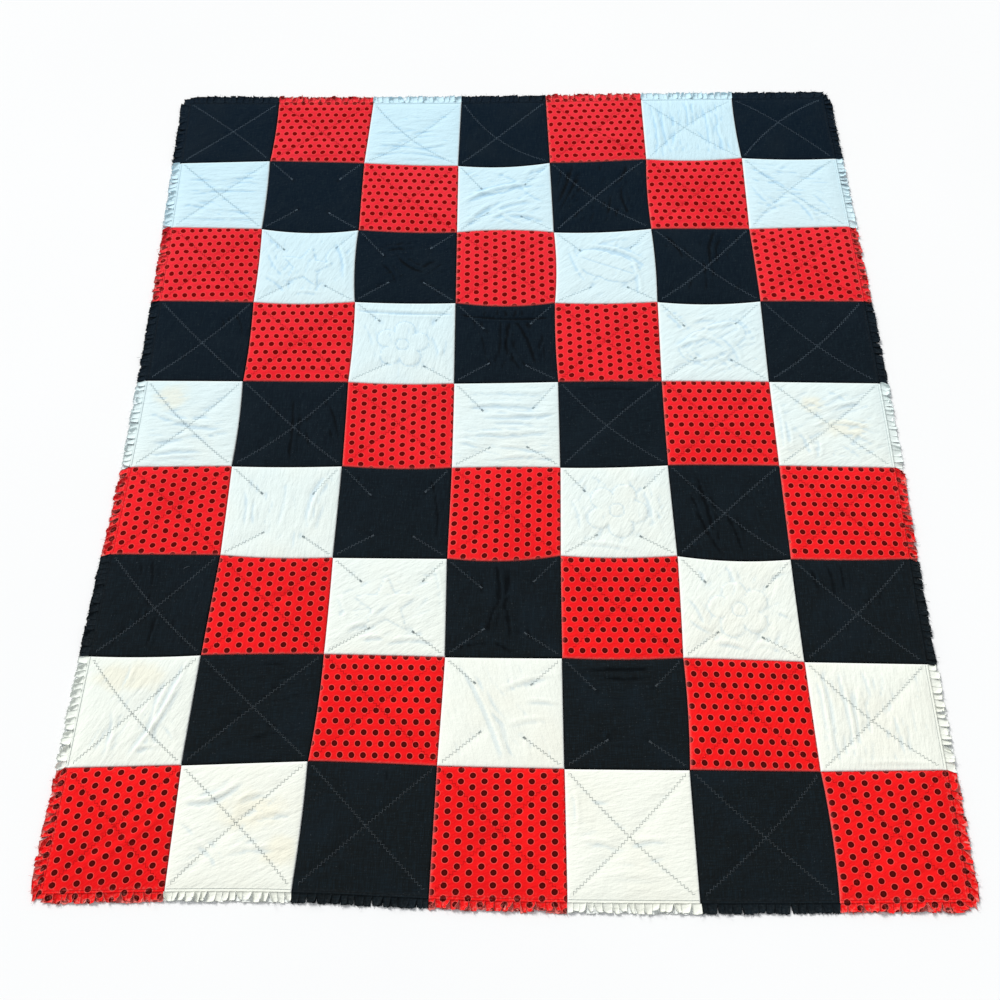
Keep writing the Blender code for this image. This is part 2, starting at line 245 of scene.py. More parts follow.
# Creases of each patch. Columns: start across and down, end across and down (hundredths of the patch), bow
# to the left of the way from start to end (mm), half width in steps of 0.7 mm, rise in tenths of 1.4 mm. A
# rise below 0 is a trough.
CREASE_WIDTH_STEP = 0.0007
CREASE_RISE_STEP = 0.0014
CREASES = {
    "r1c2": ((6, 9, 94, 7, 1, 4, 8), (20, 88, 80, 84, -4, 6, 7)),
    "r1c3": (
        (13, 69, 52, 70, 2, 4, 9), (10, 83, 40, 77, -3, 4, 8), (47, 79, 88, 89, 4, 4, 9),
        (31, 92, 74, 91, 3, 4, 7), (46, 50, 72, 44, 2, 4, 6), (50, 72, 84, 66, -2, 4, 7),
        (9, 50, 31, 47, 1, 4, 6),
    ),
    "r1c4": ((8, 18, 9, 92, 2, 4, 5),),
    "r1c5": ((50, 60, 96, 84, 6, 12, 16), (58, 88, 97, 70, -4, 8, -10)),
    "r1c6": (
        (13, 20, 15, 86, 3, 4, 12), (24, 16, 27, 80, -3, 4, 8), (33, 22, 36, 50, 2, 4, 7),
        (50, 4, 51, 40, 2, 4, 12), (59, 6, 57, 33, -2, 4, 8), (68, 8, 71, 78, 4, 5, 10),
        (83, 30, 86, 84, -3, 5, 9), (36, 56, 28, 88, 2, 4, 7),
    ),
    "r2c1": (
        (8, 25, 36, 26, 1, 4, 7), (6, 44, 86, 45, 3, 4, 9), (14, 47, 40, 44, -2, 4, 6),
        (8, 65, 40, 71, 3, 4, 8), (50, 25, 92, 19, -3, 5, 7), (8, 84, 84, 85, -2, 4, 8),
        (50, 73, 92, 77, 2, 4, 7), (62, 30, 88, 33, 2, 4, 6),
    ),
    "r2c3": ((46, 58, 92, 84, 6, 9, 12), (60, 66, 96, 62, -4, 7, -9)),
    "r2c4": (
        (9, 54, 73, 30, 9, 6, 19), (20, 43, 56, 36, -4, 5, 10), (40, 66, 78, 56, 5, 6, 8),
        (7, 92, 40, 57, 5, 6, 10), (44, 72, 68, 92, -3, 5, 9), (52, 76, 92, 84, 4, 5, 8),
        (74, 12, 96, 4, 2, 5, 8), (38, 8, 64, 22, 3, 5, 7), (68, 31, 94, 56, -4, 5, 8),
    ),
    "r2c5": (
        (26, 8, 8, 62, 3, 5, 16), (16, 4, 6, 44, 2, 4, 9), (32, 28, 10, 72, -3, 5, 10),
        (64, 52, 58, 84, 2, 5, 8), (76, 44, 82, 76, -3, 5, 10), (48, 60, 40, 92, 2, 5, 7),
        (86, 4, 72, 36, 2, 5, 7),
    ),
    "r2c6": ((30, 60, 96, 82, 5, 8, 12), (20, 88, 80, 90, 3, 6, 8)),
    "r2c7": (
        (16, 16, 48, 44, 3, 5, 8), (8, 36, 32, 72, -4, 5, 9), (48, 56, 69, 92, 7, 5, 12),
        (72, 52, 88, 76, 3, 4, 8), (16, 76, 48, 60, 2, 4, 7), (36, 16, 52, 4, 2, 4, 7),
        (70, 22, 88, 8, 2, 4, 7),
    ),
    "r3c1": ((12, 30, 34, 84, 5, 8, 9), (40, 78, 92, 90, 4, 6, 9)),
    "r3c2": (
        (10, 25, 28, 60, -5, 5, 9), (83, 20, 91, 66, 5, 5, 13), (76, 26, 73, 46, -3, 4, 8),
        (10, 64, 32, 82, 4, 5, 9), (42, 84, 64, 86, 3, 4, 7), (6, 8, 24, 24, 3, 5, 7),
    ),
    "r3c3": (
        (33, 24, 50, 23, 2, 4, 13), (46, 36, 68, 54, -4, 5, 11), (28, 44, 44, 70, 4, 5, 7),
        (66, 48, 78, 40, 2, 4, 8),
    ),
    "r3c5": (
        (40, 21, 88, 46, 8, 5, 15), (16, 24, 30, 66, -4, 5, 8), (76, 40, 84, 88, 4, 5, 9),
        (44, 16, 74, 10, 3, 4, 8),
    ),
    "r3c6": (
        (16, 8, 31, 42, 4, 5, 9), (69, 2, 58, 42, -5, 5, 16), (52, 44, 50, 84, 3, 5, 9),
        (8, 16, 24, 34, 2, 5, 6),
    ),
    "r3c7": ((10, 70, 90, 84, 4, 9, 9),),
    "r4c1": ((88, 18, 96, 48, 4, 6, 11), (70, 18, 75, 32, 2, 5, 6)),
    "r4c2": ((50, 82, 96, 90, 3, 7, 8),),
    "r4c3": (
        (4, 12, 98, 15, -2, 3, -14), (4, 8, 98, 11, -2, 4, 7), (13, 28, 23, 60, 4, 5, 7),
        (79, 40, 87, 68, 3, 5, 7),
    ),
    "r4c4": (
        (2, 15, 98, 19, -2, 3, -15), (32, 4, 31, 15, 1, 4, 12), (45, 3, 44, 15, 1, 4, 12),
        (53, 4, 54, 16, 1, 4, 10), (63, 4, 62, 17, 1, 4, 13), (82, 5, 81, 17, 1, 4, 9),
        (48, 22, 46, 68, 2, 4, 9), (58, 22, 54, 64, -2, 4, 10), (66, 23, 82, 76, 4, 5, 15),
        (76, 36, 82, 64, 2, 4, 9), (54, 48, 68, 84, -3, 5, 9), (88, 30, 91, 74, 3, 5, 7),
    ),
    "r4c6": (
        (8, 12, 24, 32, 3, 5, 11), (32, 24, 52, 19, 3, 5, 9), (16, 60, 36, 48, 3, 5, 10),
        (44, 32, 68, 25, -3, 5, 9), (64, 48, 76, 72, 3, 5, 10), (28, 64, 44, 80, -3, 5, 9),
        (52, 68, 68, 84, 3, 5, 8), (40, 44, 62, 56, 4, 6, 9), (78, 20, 92, 44, 3, 5, 8),
    ),
    "r5c1": (
        (14, 38, 82, 55, -6, 5, 12), (26, 52, 70, 49, 3, 4, 8), (14, 70, 54, 63, -3, 5, 10),
        (18, 84, 66, 81, 3, 5, 10), (22, 91, 70, 88, 2, 4, 8), (70, 64, 92, 60, 2, 4, 8),
    ),
    "r5c2": ((52, 24, 54, 94, 2, 4, 12), (87, 28, 99, 76, 4, 5, 13), (88, 56, 97, 88, 2, 4, 8)),
    "r5c4": (
        (12, 28, 68, 28, 3, 5, 11), (32, 40, 96, 38, -2, 5, 12), (36, 48, 76, 50, 3, 4, 8),
        (12, 62, 52, 64, 3, 5, 10), (44, 60, 88, 58, -3, 5, 10), (44, 76, 76, 80, 2, 4, 8),
        (40, 90, 92, 88, 3, 5, 11), (8, 70, 24, 76, 2, 4, 9), (20, 12, 84, 14, 3, 5, 8),
    ),
    "r5c5": ((22, 7, 80, 8, 2, 4, 11),),
    "r5c6": ((10, 76, 90, 86, 4, 8, 9),),
    "r5c7": (
        (6, 24, 8, 80, 2, 4, 13), (12, 48, 14, 76, 2, 4, 9), (56, 48, 88, 56, 3, 5, 11),
        (52, 32, 84, 24, 3, 5, 10), (64, 60, 88, 72, 3, 5, 10), (32, 24, 48, 32, 2, 4, 8),
        (24, 60, 32, 88, 3, 5, 10), (40, 72, 36, 94, 2, 4, 8), (52, 8, 68, 20, 2, 4, 8),
        (60, 74, 76, 90, 3, 5, 9),
    ),
    "r6c1": ((40, 70, 90, 92, 5, 8, 9),),
    "r6c2": (
        (18, 28, 21, 64, 3, 5, 9), (27, 44, 29, 64, -2, 4, 7), (87, 16, 76, 60, -5, 5, 15),
        (81, 44, 77, 68, 3, 4, 8), (55, 24, 51, 68, 3, 6, 6),
    ),
    "r6c3": ((90, 36, 92, 84, 3, 4, 11), (84, 12, 90, 36, 3, 5, 8)),
    "r6c4": ((52, 10, 54, 60, 4, 8, 8),),
    "r6c5": (
        (78, 28, 84, 64, 3, 5, 11), (84, 28, 91, 60, -3, 4, 9), (12, 36, 20, 68, 3, 5, 9),
        (64, 28, 60, 16, 2, 5, 8), (20, 84, 60, 90, 3, 5, 8), (30, 8, 44, 20, 2, 5, 7),
    ),
    "r6c6": (
        (26, 12, 36, 68, 3, 4, 13), (24, 44, 44, 96, -4, 5, 11), (50, 52, 60, 92, 3, 4, 11),
        (12, 20, 24, 44, 2, 5, 7),
    ),
    "r6c7": ((20, 30, 70, 60, 5, 9, 8),),
    "r7c1": ((41, 2, 45, 32, 2, 4, 11), (55, 58, 51, 92, 2, 4, 11), (30, 4, 33, 24, 2, 4, 8)),
    "r7c2": ((40, 40, 92, 30, 4, 8, 7),),
    "r7c3": (
        (32, 84, 48, 82, 2, 4, 10), (52, 86, 88, 84, 4, 5, 11), (16, 76, 32, 68, 2, 5, 9),
        (92, 12, 98, 60, 3, 4, 10), (9, 40, 15, 64, 3, 5, 8),
    ),
    "r7c4": (
        (46, 2, 48, 48, 3, 4, 20), (46, 48, 40, 72, -2, 4, 12), (54, 48, 58, 80, 2, 4, 11),
        (44, 84, 60, 96, 3, 4, 11), (12, 88, 36, 84, 2, 4, 8), (58, 6, 56, 30, 2, 5, 7),
    ),
    "r7c5": ((60, 70, 96, 90, 4, 8, 8),),
    "r7c6": (
        (44, 4, 50, 28, 3, 5, 13), (20, 12, 24, 24, 2, 4, 10), (80, 16, 96, 12, 2, 4, 9),
        (84, 52, 96, 60, 2, 4, 10), (8, 40, 20, 60, 3, 5, 11), (8, 60, 24, 72, -2, 5, 11),
        (28, 84, 52, 88, 3, 5, 11), (64, 84, 88, 92, 3, 5, 8),
    ),
    "r7c7": ((32, 4, 36, 32, 2, 4, 11), (43, 2, 45, 28, 2, 4, 11), (18, 8, 22, 32, 2, 4, 9)),
    "r8c1": (
        (87, 16, 57, 87, 5, 5, 21), (75, 28, 68, 76, -4, 5, 12), (34, 56, 32, 92, 3, 5, 12),
        (42, 8, 38, 28, 2, 5, 9), (81, 64, 91, 76, 2, 5, 9), (57, 85, 76, 83, 2, 4, 9),
    ),
    "r8c2": ((51, 8, 71, 8, 2, 4, 9), (51, 76, 71, 72, 2, 5, 8)),
    "r8c4": (
        (24, 20, 54, 93, 4, 5, 21), (36, 36, 52, 60, -4, 4, 11), (52, 28, 92, 16, 3, 5, 8),
        (72, 40, 96, 42, 2, 4, 8), (56, 62, 84, 56, 3, 5, 6),
    ),
    "r8c5": ((24, 8, 72, 7, 2, 4, 16), (32, 14, 68, 15, -2, 4, 8)),
    "r8c6": ((46, 16, 48, 42, 2, 5, 12), (20, 30, 80, 62, 5, 9, 7)),
    "r8c7": (
        (10, 16, 12, 76, 2, 4, 18), (17, 20, 18, 68, 2, 4, 10), (28, 12, 32, 80, 3, 4, 15),
        (40, 28, 38, 72, -2, 4, 10), (48, 8, 52, 36, 2, 4, 10), (68, 48, 72, 84, 2, 4, 9),
        (40, 93, 88, 94, 1, 4, 10),
    ),
    "r9c1": ((10, 12, 56, 66, 5, 8, 16), (96, 36, 34, 78, 5, 7, 14)),
    "r9c2": (
        (10, 30, 46, 17, -7, 5, 17), (60, 45, 88, 41, 3, 5, 9), (24, 65, 40, 81, 3, 5, 10),
        (48, 33, 60, 25, 2, 5, 8), (4, 45, 20, 57, 3, 5, 8), (44, 72, 84, 68, 3, 5, 7),
    ),
    "r9c3": ((63, 1, 65, 13, 1, 4, 10), (20, 76, 60, 88, 4, 9, 6)),
    "r9c4": ((10, 56, 90, 40, 5, 10, 6),),
    "r9c5": (
        (8, 17, 9, 45, 2, 4, 11), (16, 57, 36, 59, 2, 4, 8), (52, 57, 76, 55, 2, 4, 8),
        (30, 82, 74, 84, 3, 7, 6),
    ),
    "r9c7": ((30, 84, 92, 70, 4, 9, 7),),
}
# Ripples of each row's patches, left to right: the heading of each patch's ripples in degrees, and how
# strong they are, from 1 to 9
RIPPLES = (
    ((20, 1), (5, 4), (2, 6), (85, 2), (25, 5), (88, 9), (60, 1)),
    ((2, 6), (40, 1), (20, 5), (25, 8), (72, 6), (15, 4), (-8, 9)),
    ((10, 4), (65, 6), (30, 5), (80, 2), (40, 6), (75, 4), (15, 3)),
    ((80, 3), (5, 3), (80, 5), (86, 7), (75, 3), (35, 8), (45, 2)),
    ((3, 7), (85, 4), (85, 2), (1, 8), (5, 3), (8, 3), (25, 8)),
    ((15, 3), (86, 5), (75, 3), (85, 3), (60, 6), (110, 5), (20, 3)),
    ((85, 5), (80, 2), (30, 6), (86, 5), (10, 3), (60, 7), (84, 4)),
    ((62, 6), (10, 4), (15, 2), (110, 5), (2, 5), (60, 3), (87, 8)),
    ((40, 3), (25, 6), (80, 2), (20, 2), (10, 4), (40, 2), (30, 2)),
)
RIPPLE_COUNT = 11                 # ripples for each step of strength
RIPPLE_HALF_LENGTH = (0.006, 0.022)
RIPPLE_HALF_WIDTH = (0.0016, 0.0033)
RIPPLE_RISE = 0.00022             # times the root of the strength
RIPPLE_SWAY = 14                  # degrees that ripples stray from their patch's heading
RIPPLE_BOW = 0.0012
# Patches with a plain star, leaf or five-petal flower sewn to their hidden side, which shows through as a
# low plateau. Columns: patch, shape, middle across and down (share of the patch), reach, turn (degrees)
HIDDEN_SHAPES = (
    ("r3c2", "star", 0.50, 0.50, 0.050, 8), ("r3c5", "leaf", 0.51, 0.49, 0.052, -24),
    ("r4c3", "flower", 0.49, 0.53, 0.047, 12), ("r4c6", "leaf", 0.50, 0.50, 0.054, 30),
    ("r6c5", "flower", 0.50, 0.49, 0.050, -8), ("r7c3", "star", 0.49, 0.50, 0.052, 20),
    ("r7c6", "flower", 0.50, 0.51, 0.048, 30),
)
PLATEAU = 0.0010
PLATEAU_EDGE = 0.0024
PLATEAU_GROOVE = 0.0009
STAR_NOTCH = 0.45                 # share of the reach at the notches between a star's points
FLOWER_DISC = 0.24


def crease_height(across, up, start, end, bow, half_width, rise):
    """Height added by one crease: a ridge along a bowed line, fading at both ends, with a shallower
    trough along its right side."""
    run = end - start
    half = np.hypot(*run) / 2
    unit = run / (2 * half)
    middle = (start + end) / 2
    along = (across - middle[0]) * unit[0] + (up - middle[1]) * unit[1]
    beside = (up - middle[1]) * unit[0] - (across - middle[0]) * unit[1]
    off = beside - bow * (1 - np.minimum((along / half) ** 2, 4))
    fade = np.exp(-((along / (1.08 * half)) ** 4))
    ridge = np.exp(-((off / half_width) ** 2))
    trough = np.exp(-(((off + 1.7 * half_width) / (1.4 * half_width)) ** 2))
    return rise * fade * (ridge - 0.45 * trough)


def hidden_shape_height(across, up, kind, middle_across, middle_up, reach, turn):
    """Height added by a sewn-on shape on the hidden side: a plateau inside a polar outline, with a groove
    along its stitched lines. The outline is a straight-sided five-pointed star, a pointed leaf with a rib
    down it, or a flower of five petals round a disc."""
    dx, dy = across - middle_across, up - middle_up
    angle = np.arctan2(dy, dx) - math.radians(turn)
    half_point = math.pi / 5
    distance = np.hypot(dx, dy)
    if kind == "star":
        notch = reach * STAR_NOTCH
        past_notch = np.abs(np.mod(angle, 2 * half_point) - half_point)
        outline = reach * notch * math.sin(half_point)
        outline = outline / (notch * np.sin(past_notch) + reach * np.sin(half_point - past_notch))
        inner_line = distance * 0 + 1
    elif kind == "flower":
        outline = reach * (0.50 + 0.50 * np.abs(np.cos(2.5 * angle)) ** 0.5)
        inner_line = distance - FLOWER_DISC * reach
    else:
        outline = reach * 1.25 / np.sqrt(np.cos(angle) ** 2 + (2.1 * np.sin(angle)) ** 2)
        outline = outline * (1 - 0.10 * np.cos(2 * angle) ** 8)
        inner_line = np.where(distance < outline * 0.85, distance * np.sin(angle), 1)
    outside = distance - outline
    plateau = 0.5 - 0.5 * np.tanh(outside / PLATEAU_EDGE)
    stitched = np.minimum(np.abs(outside), np.abs(inner_line))
    return PLATEAU * plateau - PLATEAU_GROOVE * np.exp(-((stitched / (0.6 * PLATEAU_EDGE)) ** 2))


def lie_of_patch(row, column):
    """Returns a function that gives the height of one patch's face at places across and down it."""
    name = patch_name(row, column)
    rng = np.random.default_rng(7000 + 10 * row + column)
    stitched = np.concatenate(cross_arms(row, column))
    heading, strength = RIPPLES[row][column]
    ripples = []
    for _ in range(RIPPLE_COUNT * strength):
        middle = rng.uniform(0.04, 0.96, 2) * (PATCH_WIDTH, PATCH_LENGTH)
        angle = math.radians(heading + rng.normal(0, RIPPLE_SWAY))
        reach = rng.uniform(*RIPPLE_HALF_LENGTH) * np.array((math.cos(angle), math.sin(angle)))
        bow = rng.normal(0, RIPPLE_BOW)
        half_width = rng.uniform(*RIPPLE_HALF_WIDTH)
        rise = rng.uniform(0.3, 1.0) * RIPPLE_RISE * strength ** 0.5 * rng.choice((-1, 1, 1))
        ripples.append((middle - reach, middle + reach, bow, half_width, rise))
    for u0, v0, u1, v1, bow, half_width, rise in CREASES.get(name, ()):
        start = np.array((u0 * PATCH_WIDTH, (100 - v0) * PATCH_LENGTH)) / 100
        end = np.array((u1 * PATCH_WIDTH, (100 - v1) * PATCH_LENGTH)) / 100
        ripples.append((
            start, end, bow / 1000, half_width * CREASE_WIDTH_STEP, rise / 10 * CREASE_RISE_STEP
        ))
    shapes = [shape for shape in HIDDEN_SHAPES if shape[0] == name]
    sides = (column == 0, column == COLUMNS - 1, row == 0, row == ROWS - 1)

    def height(u, v):
        u, v = np.asarray(u, float), np.asarray(v, float)
        across, up = u * PATCH_WIDTH, (1 - v) * PATCH_LENGTH
        to_sides = (across, PATCH_WIDTH - across, PATCH_LENGTH - up, up)
        to_seam = np.minimum.reduce([np.abs(d) for d in to_sides])
        inner = np.minimum.reduce([
            np.where(is_border, 1.0, np.abs(d)) for d, is_border in zip(to_sides, sides)
        ])
        border = np.minimum.reduce([
            np.where(is_border, d, 1.0) for d, is_border in zip(to_sides, sides)
        ])
        rise = 1 - np.exp(-to_seam / SHOULDER)
        off = np.full(u.shape, 1.0)
        for start in range(0, len(stitched), 20):
            some = stitched[start:start + 20]
            gap = np.hypot(
                (u[..., None] - some[:, 0]) * PATCH_WIDTH, (v[..., None] - some[:, 1]) * PATCH_LENGTH
            ).min(-1)
            off = np.minimum(off, gap)
        wave = -CROSS_SINK * np.exp(-((off / CROSS_SHOULDER) ** 2))
        for start, end, bow, half_width, lift in ripples:
            wave = wave + crease_height(across, up, start, end, bow, half_width, lift)
        for _, kind, middle_u, middle_v, reach, turn in shapes:
            middle = (middle_u * PATCH_WIDTH, (1 - middle_v) * PATCH_LENGTH)
            wave = wave + hidden_shape_height(across, up, kind, *middle, reach, turn)
        seam = np.where(border < inner, BORDER_STITCH, SEAM)
        z = seam + (LOFT - seam + wave) * rise
        z = np.maximum(z, LOWEST_FACE)
        margin = BORDER_STITCH + MARGIN_RISE * (1 - np.exp(-np.abs(border) / MARGIN_SHOULDER))
        z = np.where(border < 0, margin, z)
        turned = np.exp(-((inner / EDGE_ROLL) ** 1.5))
        return z - (z - TURNED_EDGE) * turned

    return height


# The three cottons. The dotted one is printed with near-round black dots, each with a thin pale ring, in
# rows that step sideways by half. Its pieces were cut both ways of the cloth.
DOT_STEP = 0.0166
DOT_HALF = (0.0042, 0.0044)       # half a dot along its row and across it
# columns: patch, the way its dot rows run, place of the dot nearest to its middle (mm to the right, mm
# up), tilt of the rows and of the line from row to row (degrees, anticlockwise)
DOTTED_PATCHES = {
    "r1c2": ("across", -1.3, -4.1, 0.3, -0.5), "r1c5": ("across", -10.0, 1.8, 2.0, 2.6),
    "r2c3": ("across", -9.7, 6.5, -2.4, 0.2), "r2c6": ("across", -7.4, 5.4, 1.5, 3.2),
    "r3c1": ("across", 3.8, -4.3, 1.9, 5.7), "r3c4": ("down", -2.4, 4.5, 0.7, 3.4),
    "r3c7": ("down", 0.3, -1.8, 2.6, 2.9), "r4c2": ("across", 1.0, -6.6, 0.1, 1.9),
    "r4c5": ("down", -0.1, -0.2, 1.3, 3.5), "r5c3": ("down", 6.8, -8.2, 0.9, 2.5),
    "r5c6": ("across", 3.2, -5.6, 0.1, -0.8), "r6c1": ("down", -7.1, -5.0, -0.2, 3.2),
    "r6c4": ("down", 3.3, -9.2, -1.5, 2.8), "r6c7": ("across", -1.0, -4.1, -1.1, 0.5),
    "r7c2": ("down", -3.9, 0.0, -1.3, 0.8), "r7c5": ("across", 3.5, -4.3, 0.0, 2.3),
    "r8c3": ("across", -3.2, -3.9, -0.7, 1.7), "r8c6": ("across", 8.4, -7.5, -1.6, 2.5),
    "r9c1": ("down", -3.6, -8.0, -0.9, 4.4), "r9c4": ("down", -6.0, 10.4, -1.3, 0.3),
    "r9c7": ("down", 5.5, 5.4, 1.6, 3.1),
}


def grain(row, column, x, y):
    """Place in the cloth's own weave and print, in metres, of places in the frame. On dotted cloth it is
    the place in the dots' lattice, with the rows along the first number."""
    middle_x, middle_y = on_even_cloth(np.array(column + 0.5), np.array(row + 0.5))
    x, y = x - middle_x - slide_x, y - middle_y - slide_y
    name = patch_name(row, column)
    if name not in DOTTED_PATCHES:
        return np.stack((x, y), -1)
    way, dot_x, dot_y, row_tilt, step_tilt = DOTTED_PATCHES[name]
    x, y = x - dot_x / 1000, y - dot_y / 1000
    if way == "down":
        x, y = y, x
        row_tilt, step_tilt = -row_tilt, -step_tilt
    row_tilt, step_tilt = math.radians(row_tilt), math.radians(step_tilt)
    along, step = (math.cos(row_tilt), math.sin(row_tilt)), (-math.sin(step_tilt), math.cos(step_tilt))
    area = along[0] * step[1] - along[1] * step[0]
    return np.stack(((x * step[1] - y * step[0]) / area, (along[0] * y - along[1] * x) / area), -1)


class Socket:
    """One output in a material. Arithmetic on it adds Math nodes, and node() adds any other node."""

    def __init__(self, tree, output=None):
        self.tree = tree
        self.output = output

    def node(self, kind, settings=None, inputs=None, out=0):
        """Adds a node, with its settings first and then values or sockets for its inputs."""
        made = self.tree.nodes.new(kind)
        for name, value in (settings or {}).items():
            setattr(made, name, value)
        for key, value in (inputs or {}).items():
            if isinstance(value, Socket):
                self.tree.links.new(value.output, made.inputs[key])
            else:
                made.inputs[key].default_value = value
        return Socket(self.tree, made.outputs[out])

    def math(self, operation, *values):
        return self.node("ShaderNodeMath", {"operation": operation}, dict(enumerate(values)))

    def __add__(self, other):
        return self.math("ADD", self, other)

    def __radd__(self, other):
        return self.math("ADD", other, self)

    def __sub__(self, other):
        return self.math("SUBTRACT", self, other)

    def __rsub__(self, other):
        return self.math("SUBTRACT", other, self)

    def __mul__(self, other):
        return self.math("MULTIPLY", self, other)

    def __rmul__(self, other):
        return self.math("MULTIPLY", other, self)

    def __truediv__(self, other):
        return self.math("DIVIDE", self, other)

    def __pow__(self, other):
        return self.math("POWER", self, other)

    def mix(self, low, high):
        """A colour between two, with this number from 0 to 1 as the share of the second."""
        settings = {"data_type": "RGBA", "clamp_factor": True}
        return self.node("ShaderNodeMix", settings, {0: self, 6: low, 7: high}, 2)

    def step(self, start, end):
        """0 below start, 1 above end, and a soft change between them."""
        settings = {"interpolation_type": "SMOOTHSTEP"}
        return self.node("ShaderNodeMapRange", settings, {0: self, 1: start, 2: end})

    def noise(self, place, scale, detail=3.0, rough=0.55):
        """Soft noise around 0.5 at a place."""
        inputs = {"Vector": place, "Scale": scale, "Detail": detail, "Roughness": rough}
        return self.node("ShaderNodeTexNoise", None, inputs)

    def stretched(self, place, scale):
        """A place scaled by three numbers."""
        return self.node("ShaderNodeMapping", {"vector_type": "POINT"}, {"Vector": place, "Scale": scale})

    def part(self, axis):
        """One number of this place: 0 for X and 1 for Y."""
        return self.node("ShaderNodeSeparateXYZ", None, {0: self}, axis)


def start_cloth(name, roughness, specular):
    """A new cotton material with its plain values set. Returns it, its shader and a first Socket."""
    material = bpy.data.materials.new(name)
    material.use_nodes = True
    shader = material.node_tree.nodes["Principled BSDF"]
    shader.inputs["Roughness"].default_value = roughness
    shader.inputs["Specular IOR Level"].default_value = specular
    return material, shader, Socket(material.node_tree)


def weave_height(any_socket, weave_uv, ripple_uv, place):
    """Bump of washed plain weave, in metres: threads over and under, slubs along both thread ways, and the
    small puckers that run the way the patch is pulled."""
    pitch = 0.00085
    over, under = [
        any_socket.math("SINE", weave_uv.part(axis) * (2 * math.pi / pitch)) for axis in (0, 1)
    ]
    warp = any_socket.noise(any_socket.stretched(weave_uv, (900, 60, 1)), 1.0, 2.0)
    weft = any_socket.noise(any_socket.stretched(weave_uv, (60, 900, 1)), 1.0, 2.0)
    pucker = any_socket.noise(any_socket.stretched(ripple_uv, (34, 150, 1)), 1.0, 3.0, 0.5)
    crinkle = any_socket.noise(any_socket.stretched(ripple_uv, (120, 280, 1)), 1.0, 2.0, 0.6)
    crumple = any_socket.noise(place, 46, 4.0, 0.55)
    height = over * under * 0.00003 + (warp + weft) * 0.00012 + pucker * 0.0014
    return height + crinkle * 0.0009 + crumple * 0.0014


def finish_cloth(shader, any_socket, colour, height):
    """Joins a cotton's colour and bump to its shader."""
    bump = any_socket.node(
        "ShaderNodeBump", None, {"Strength": 0.8, "Distance": 1.0, "Height": height}
    )
    any_socket.tree.links.new(colour.output, shader.inputs["Base Color"])
    any_socket.tree.links.new(bump.output, shader.inputs["Normal"])


def cloth_inputs(any_socket):
    """Weave and ripple maps, object place, the masks that a piece carries, and share of the way footward."""
    weave_uv = any_socket.node("ShaderNodeUVMap", {"uv_map": "weave"})
    ripple_uv = any_socket.node("ShaderNodeUVMap", {"uv_map": "ripple"})
    place = any_socket.node("ShaderNodeTexCoord", None, None, 3)
    masks = [
        any_socket.node("ShaderNodeAttribute", {"attribute_name": mask}, None, 2)
        for mask in ("reverse", "wear", "rim", "hollow_shade")
    ]
    y = place.part(1)
    x = place.part(0)
    footward = 0.5 - y / THROW_LENGTH + x * 0.10
    return weave_uv, ripple_uv, place, *masks, footward


def red_cotton():
    """Red cotton printed with dark dots in pale rings. The reverse is the unprinted pink side."""
    material, shader, s = start_cloth("dotted_red_cotton", 0.92, 0.03)
    weave_uv, ripple_uv, place, reverse, wear, rim, hollow_shade, footward = cloth_inputs(s)
    headward = 1 - footward.step(0.0, 0.9)
    sway = headward * 0.24 + 0.06
    across = weave_uv.part(0) / DOT_STEP
    across = across + (s.noise(place, 37, 2.0) - 0.5) * sway
    row = weave_uv.part(1) / DOT_STEP
    row = row + (s.noise(place, 41, 2.0) - 0.5) * sway
    nearest_row = row.math("ROUND", row)
    odd = nearest_row.math("FLOORED_MODULO", nearest_row, 2.0)
    shifted = across + odd * 0.5
    dx = (shifted - shifted.math("ROUND", shifted)) * (DOT_STEP / DOT_HALF[0])
    dy = (row - nearest_row) * (DOT_STEP / DOT_HALF[1])
    ragged = (s.noise(place, 420, 2.0) - 0.5) * 0.16
    radius = ((dx * dx + dy * dy) ** 0.5 + ragged) * (1 - headward * 0.07)
    worn = s.noise(place, 260, 3.0, 0.6)
    # The ground's change from head to foot is a painted tint of the light: cooler at the head, warmer at the
    # foot.
    head_red, foot_red = (0.83, 0.030, 0.047, 1), (0.905, 0.0112, 0.0125, 1)
    ground = footward.step(0.0, 0.9).mix(head_red, foot_red)
    ground = (s.noise(place, 9, 3.0).step(0.35, 0.75) * 0.35).mix(ground, (0.66, 0.004, 0.008, 1))
    ground = (worn.step(0.60, 0.78) * 0.22).mix(ground, (0.95, 0.10, 0.09, 1))
    ring = radius.step(0.98, 1.05) * (1 - radius.step(1.16, 1.30))
    colour = (ring * 0.85).mix(ground, (0.80, 0.086, 0.074, 1))
    ink = radius.step(0.2, 0.9).mix((0.085, 0.0052, 0.0040, 1), (0.072, 0.0008, 0.0008, 1))
    ink = headward.mix(ink, (0.205, 0.0008, 0.0012, 1))
    dot = (1 - radius.step(0.93, 1.05)).mix(colour, ink)
    lint_and_painted_light = (wear * worn.step(0.45, 0.70) * 0.65).mix(dot, (0.88, 0.26, 0.22, 1))
    # Painted shade in the hollows of the face.
    lint_and_painted_light = (hollow_shade * 0.15).mix(lint_and_painted_light, (0.42, 0.002, 0.004, 1))
    # Along the seams: a pale edge, partly rubbed-off dye and partly painted highlight, and a dark edge of
    # painted shade.
    lint_and_painted_light = (rim * 0.8).mix(lint_and_painted_light, (0.86, 0.16, 0.15, 1))
    lint_and_painted_light = (rim * -0.8).mix(lint_and_painted_light, (0.50, 0.004, 0.008, 1))
    pale = worn.mix((0.72, 0.10, 0.09, 1), (0.86, 0.30, 0.26, 1))
    finish_cloth(shader, s, reverse.mix(lint_and_painted_light, pale), weave_height(s, weave_uv, ripple_uv, place))
    return material


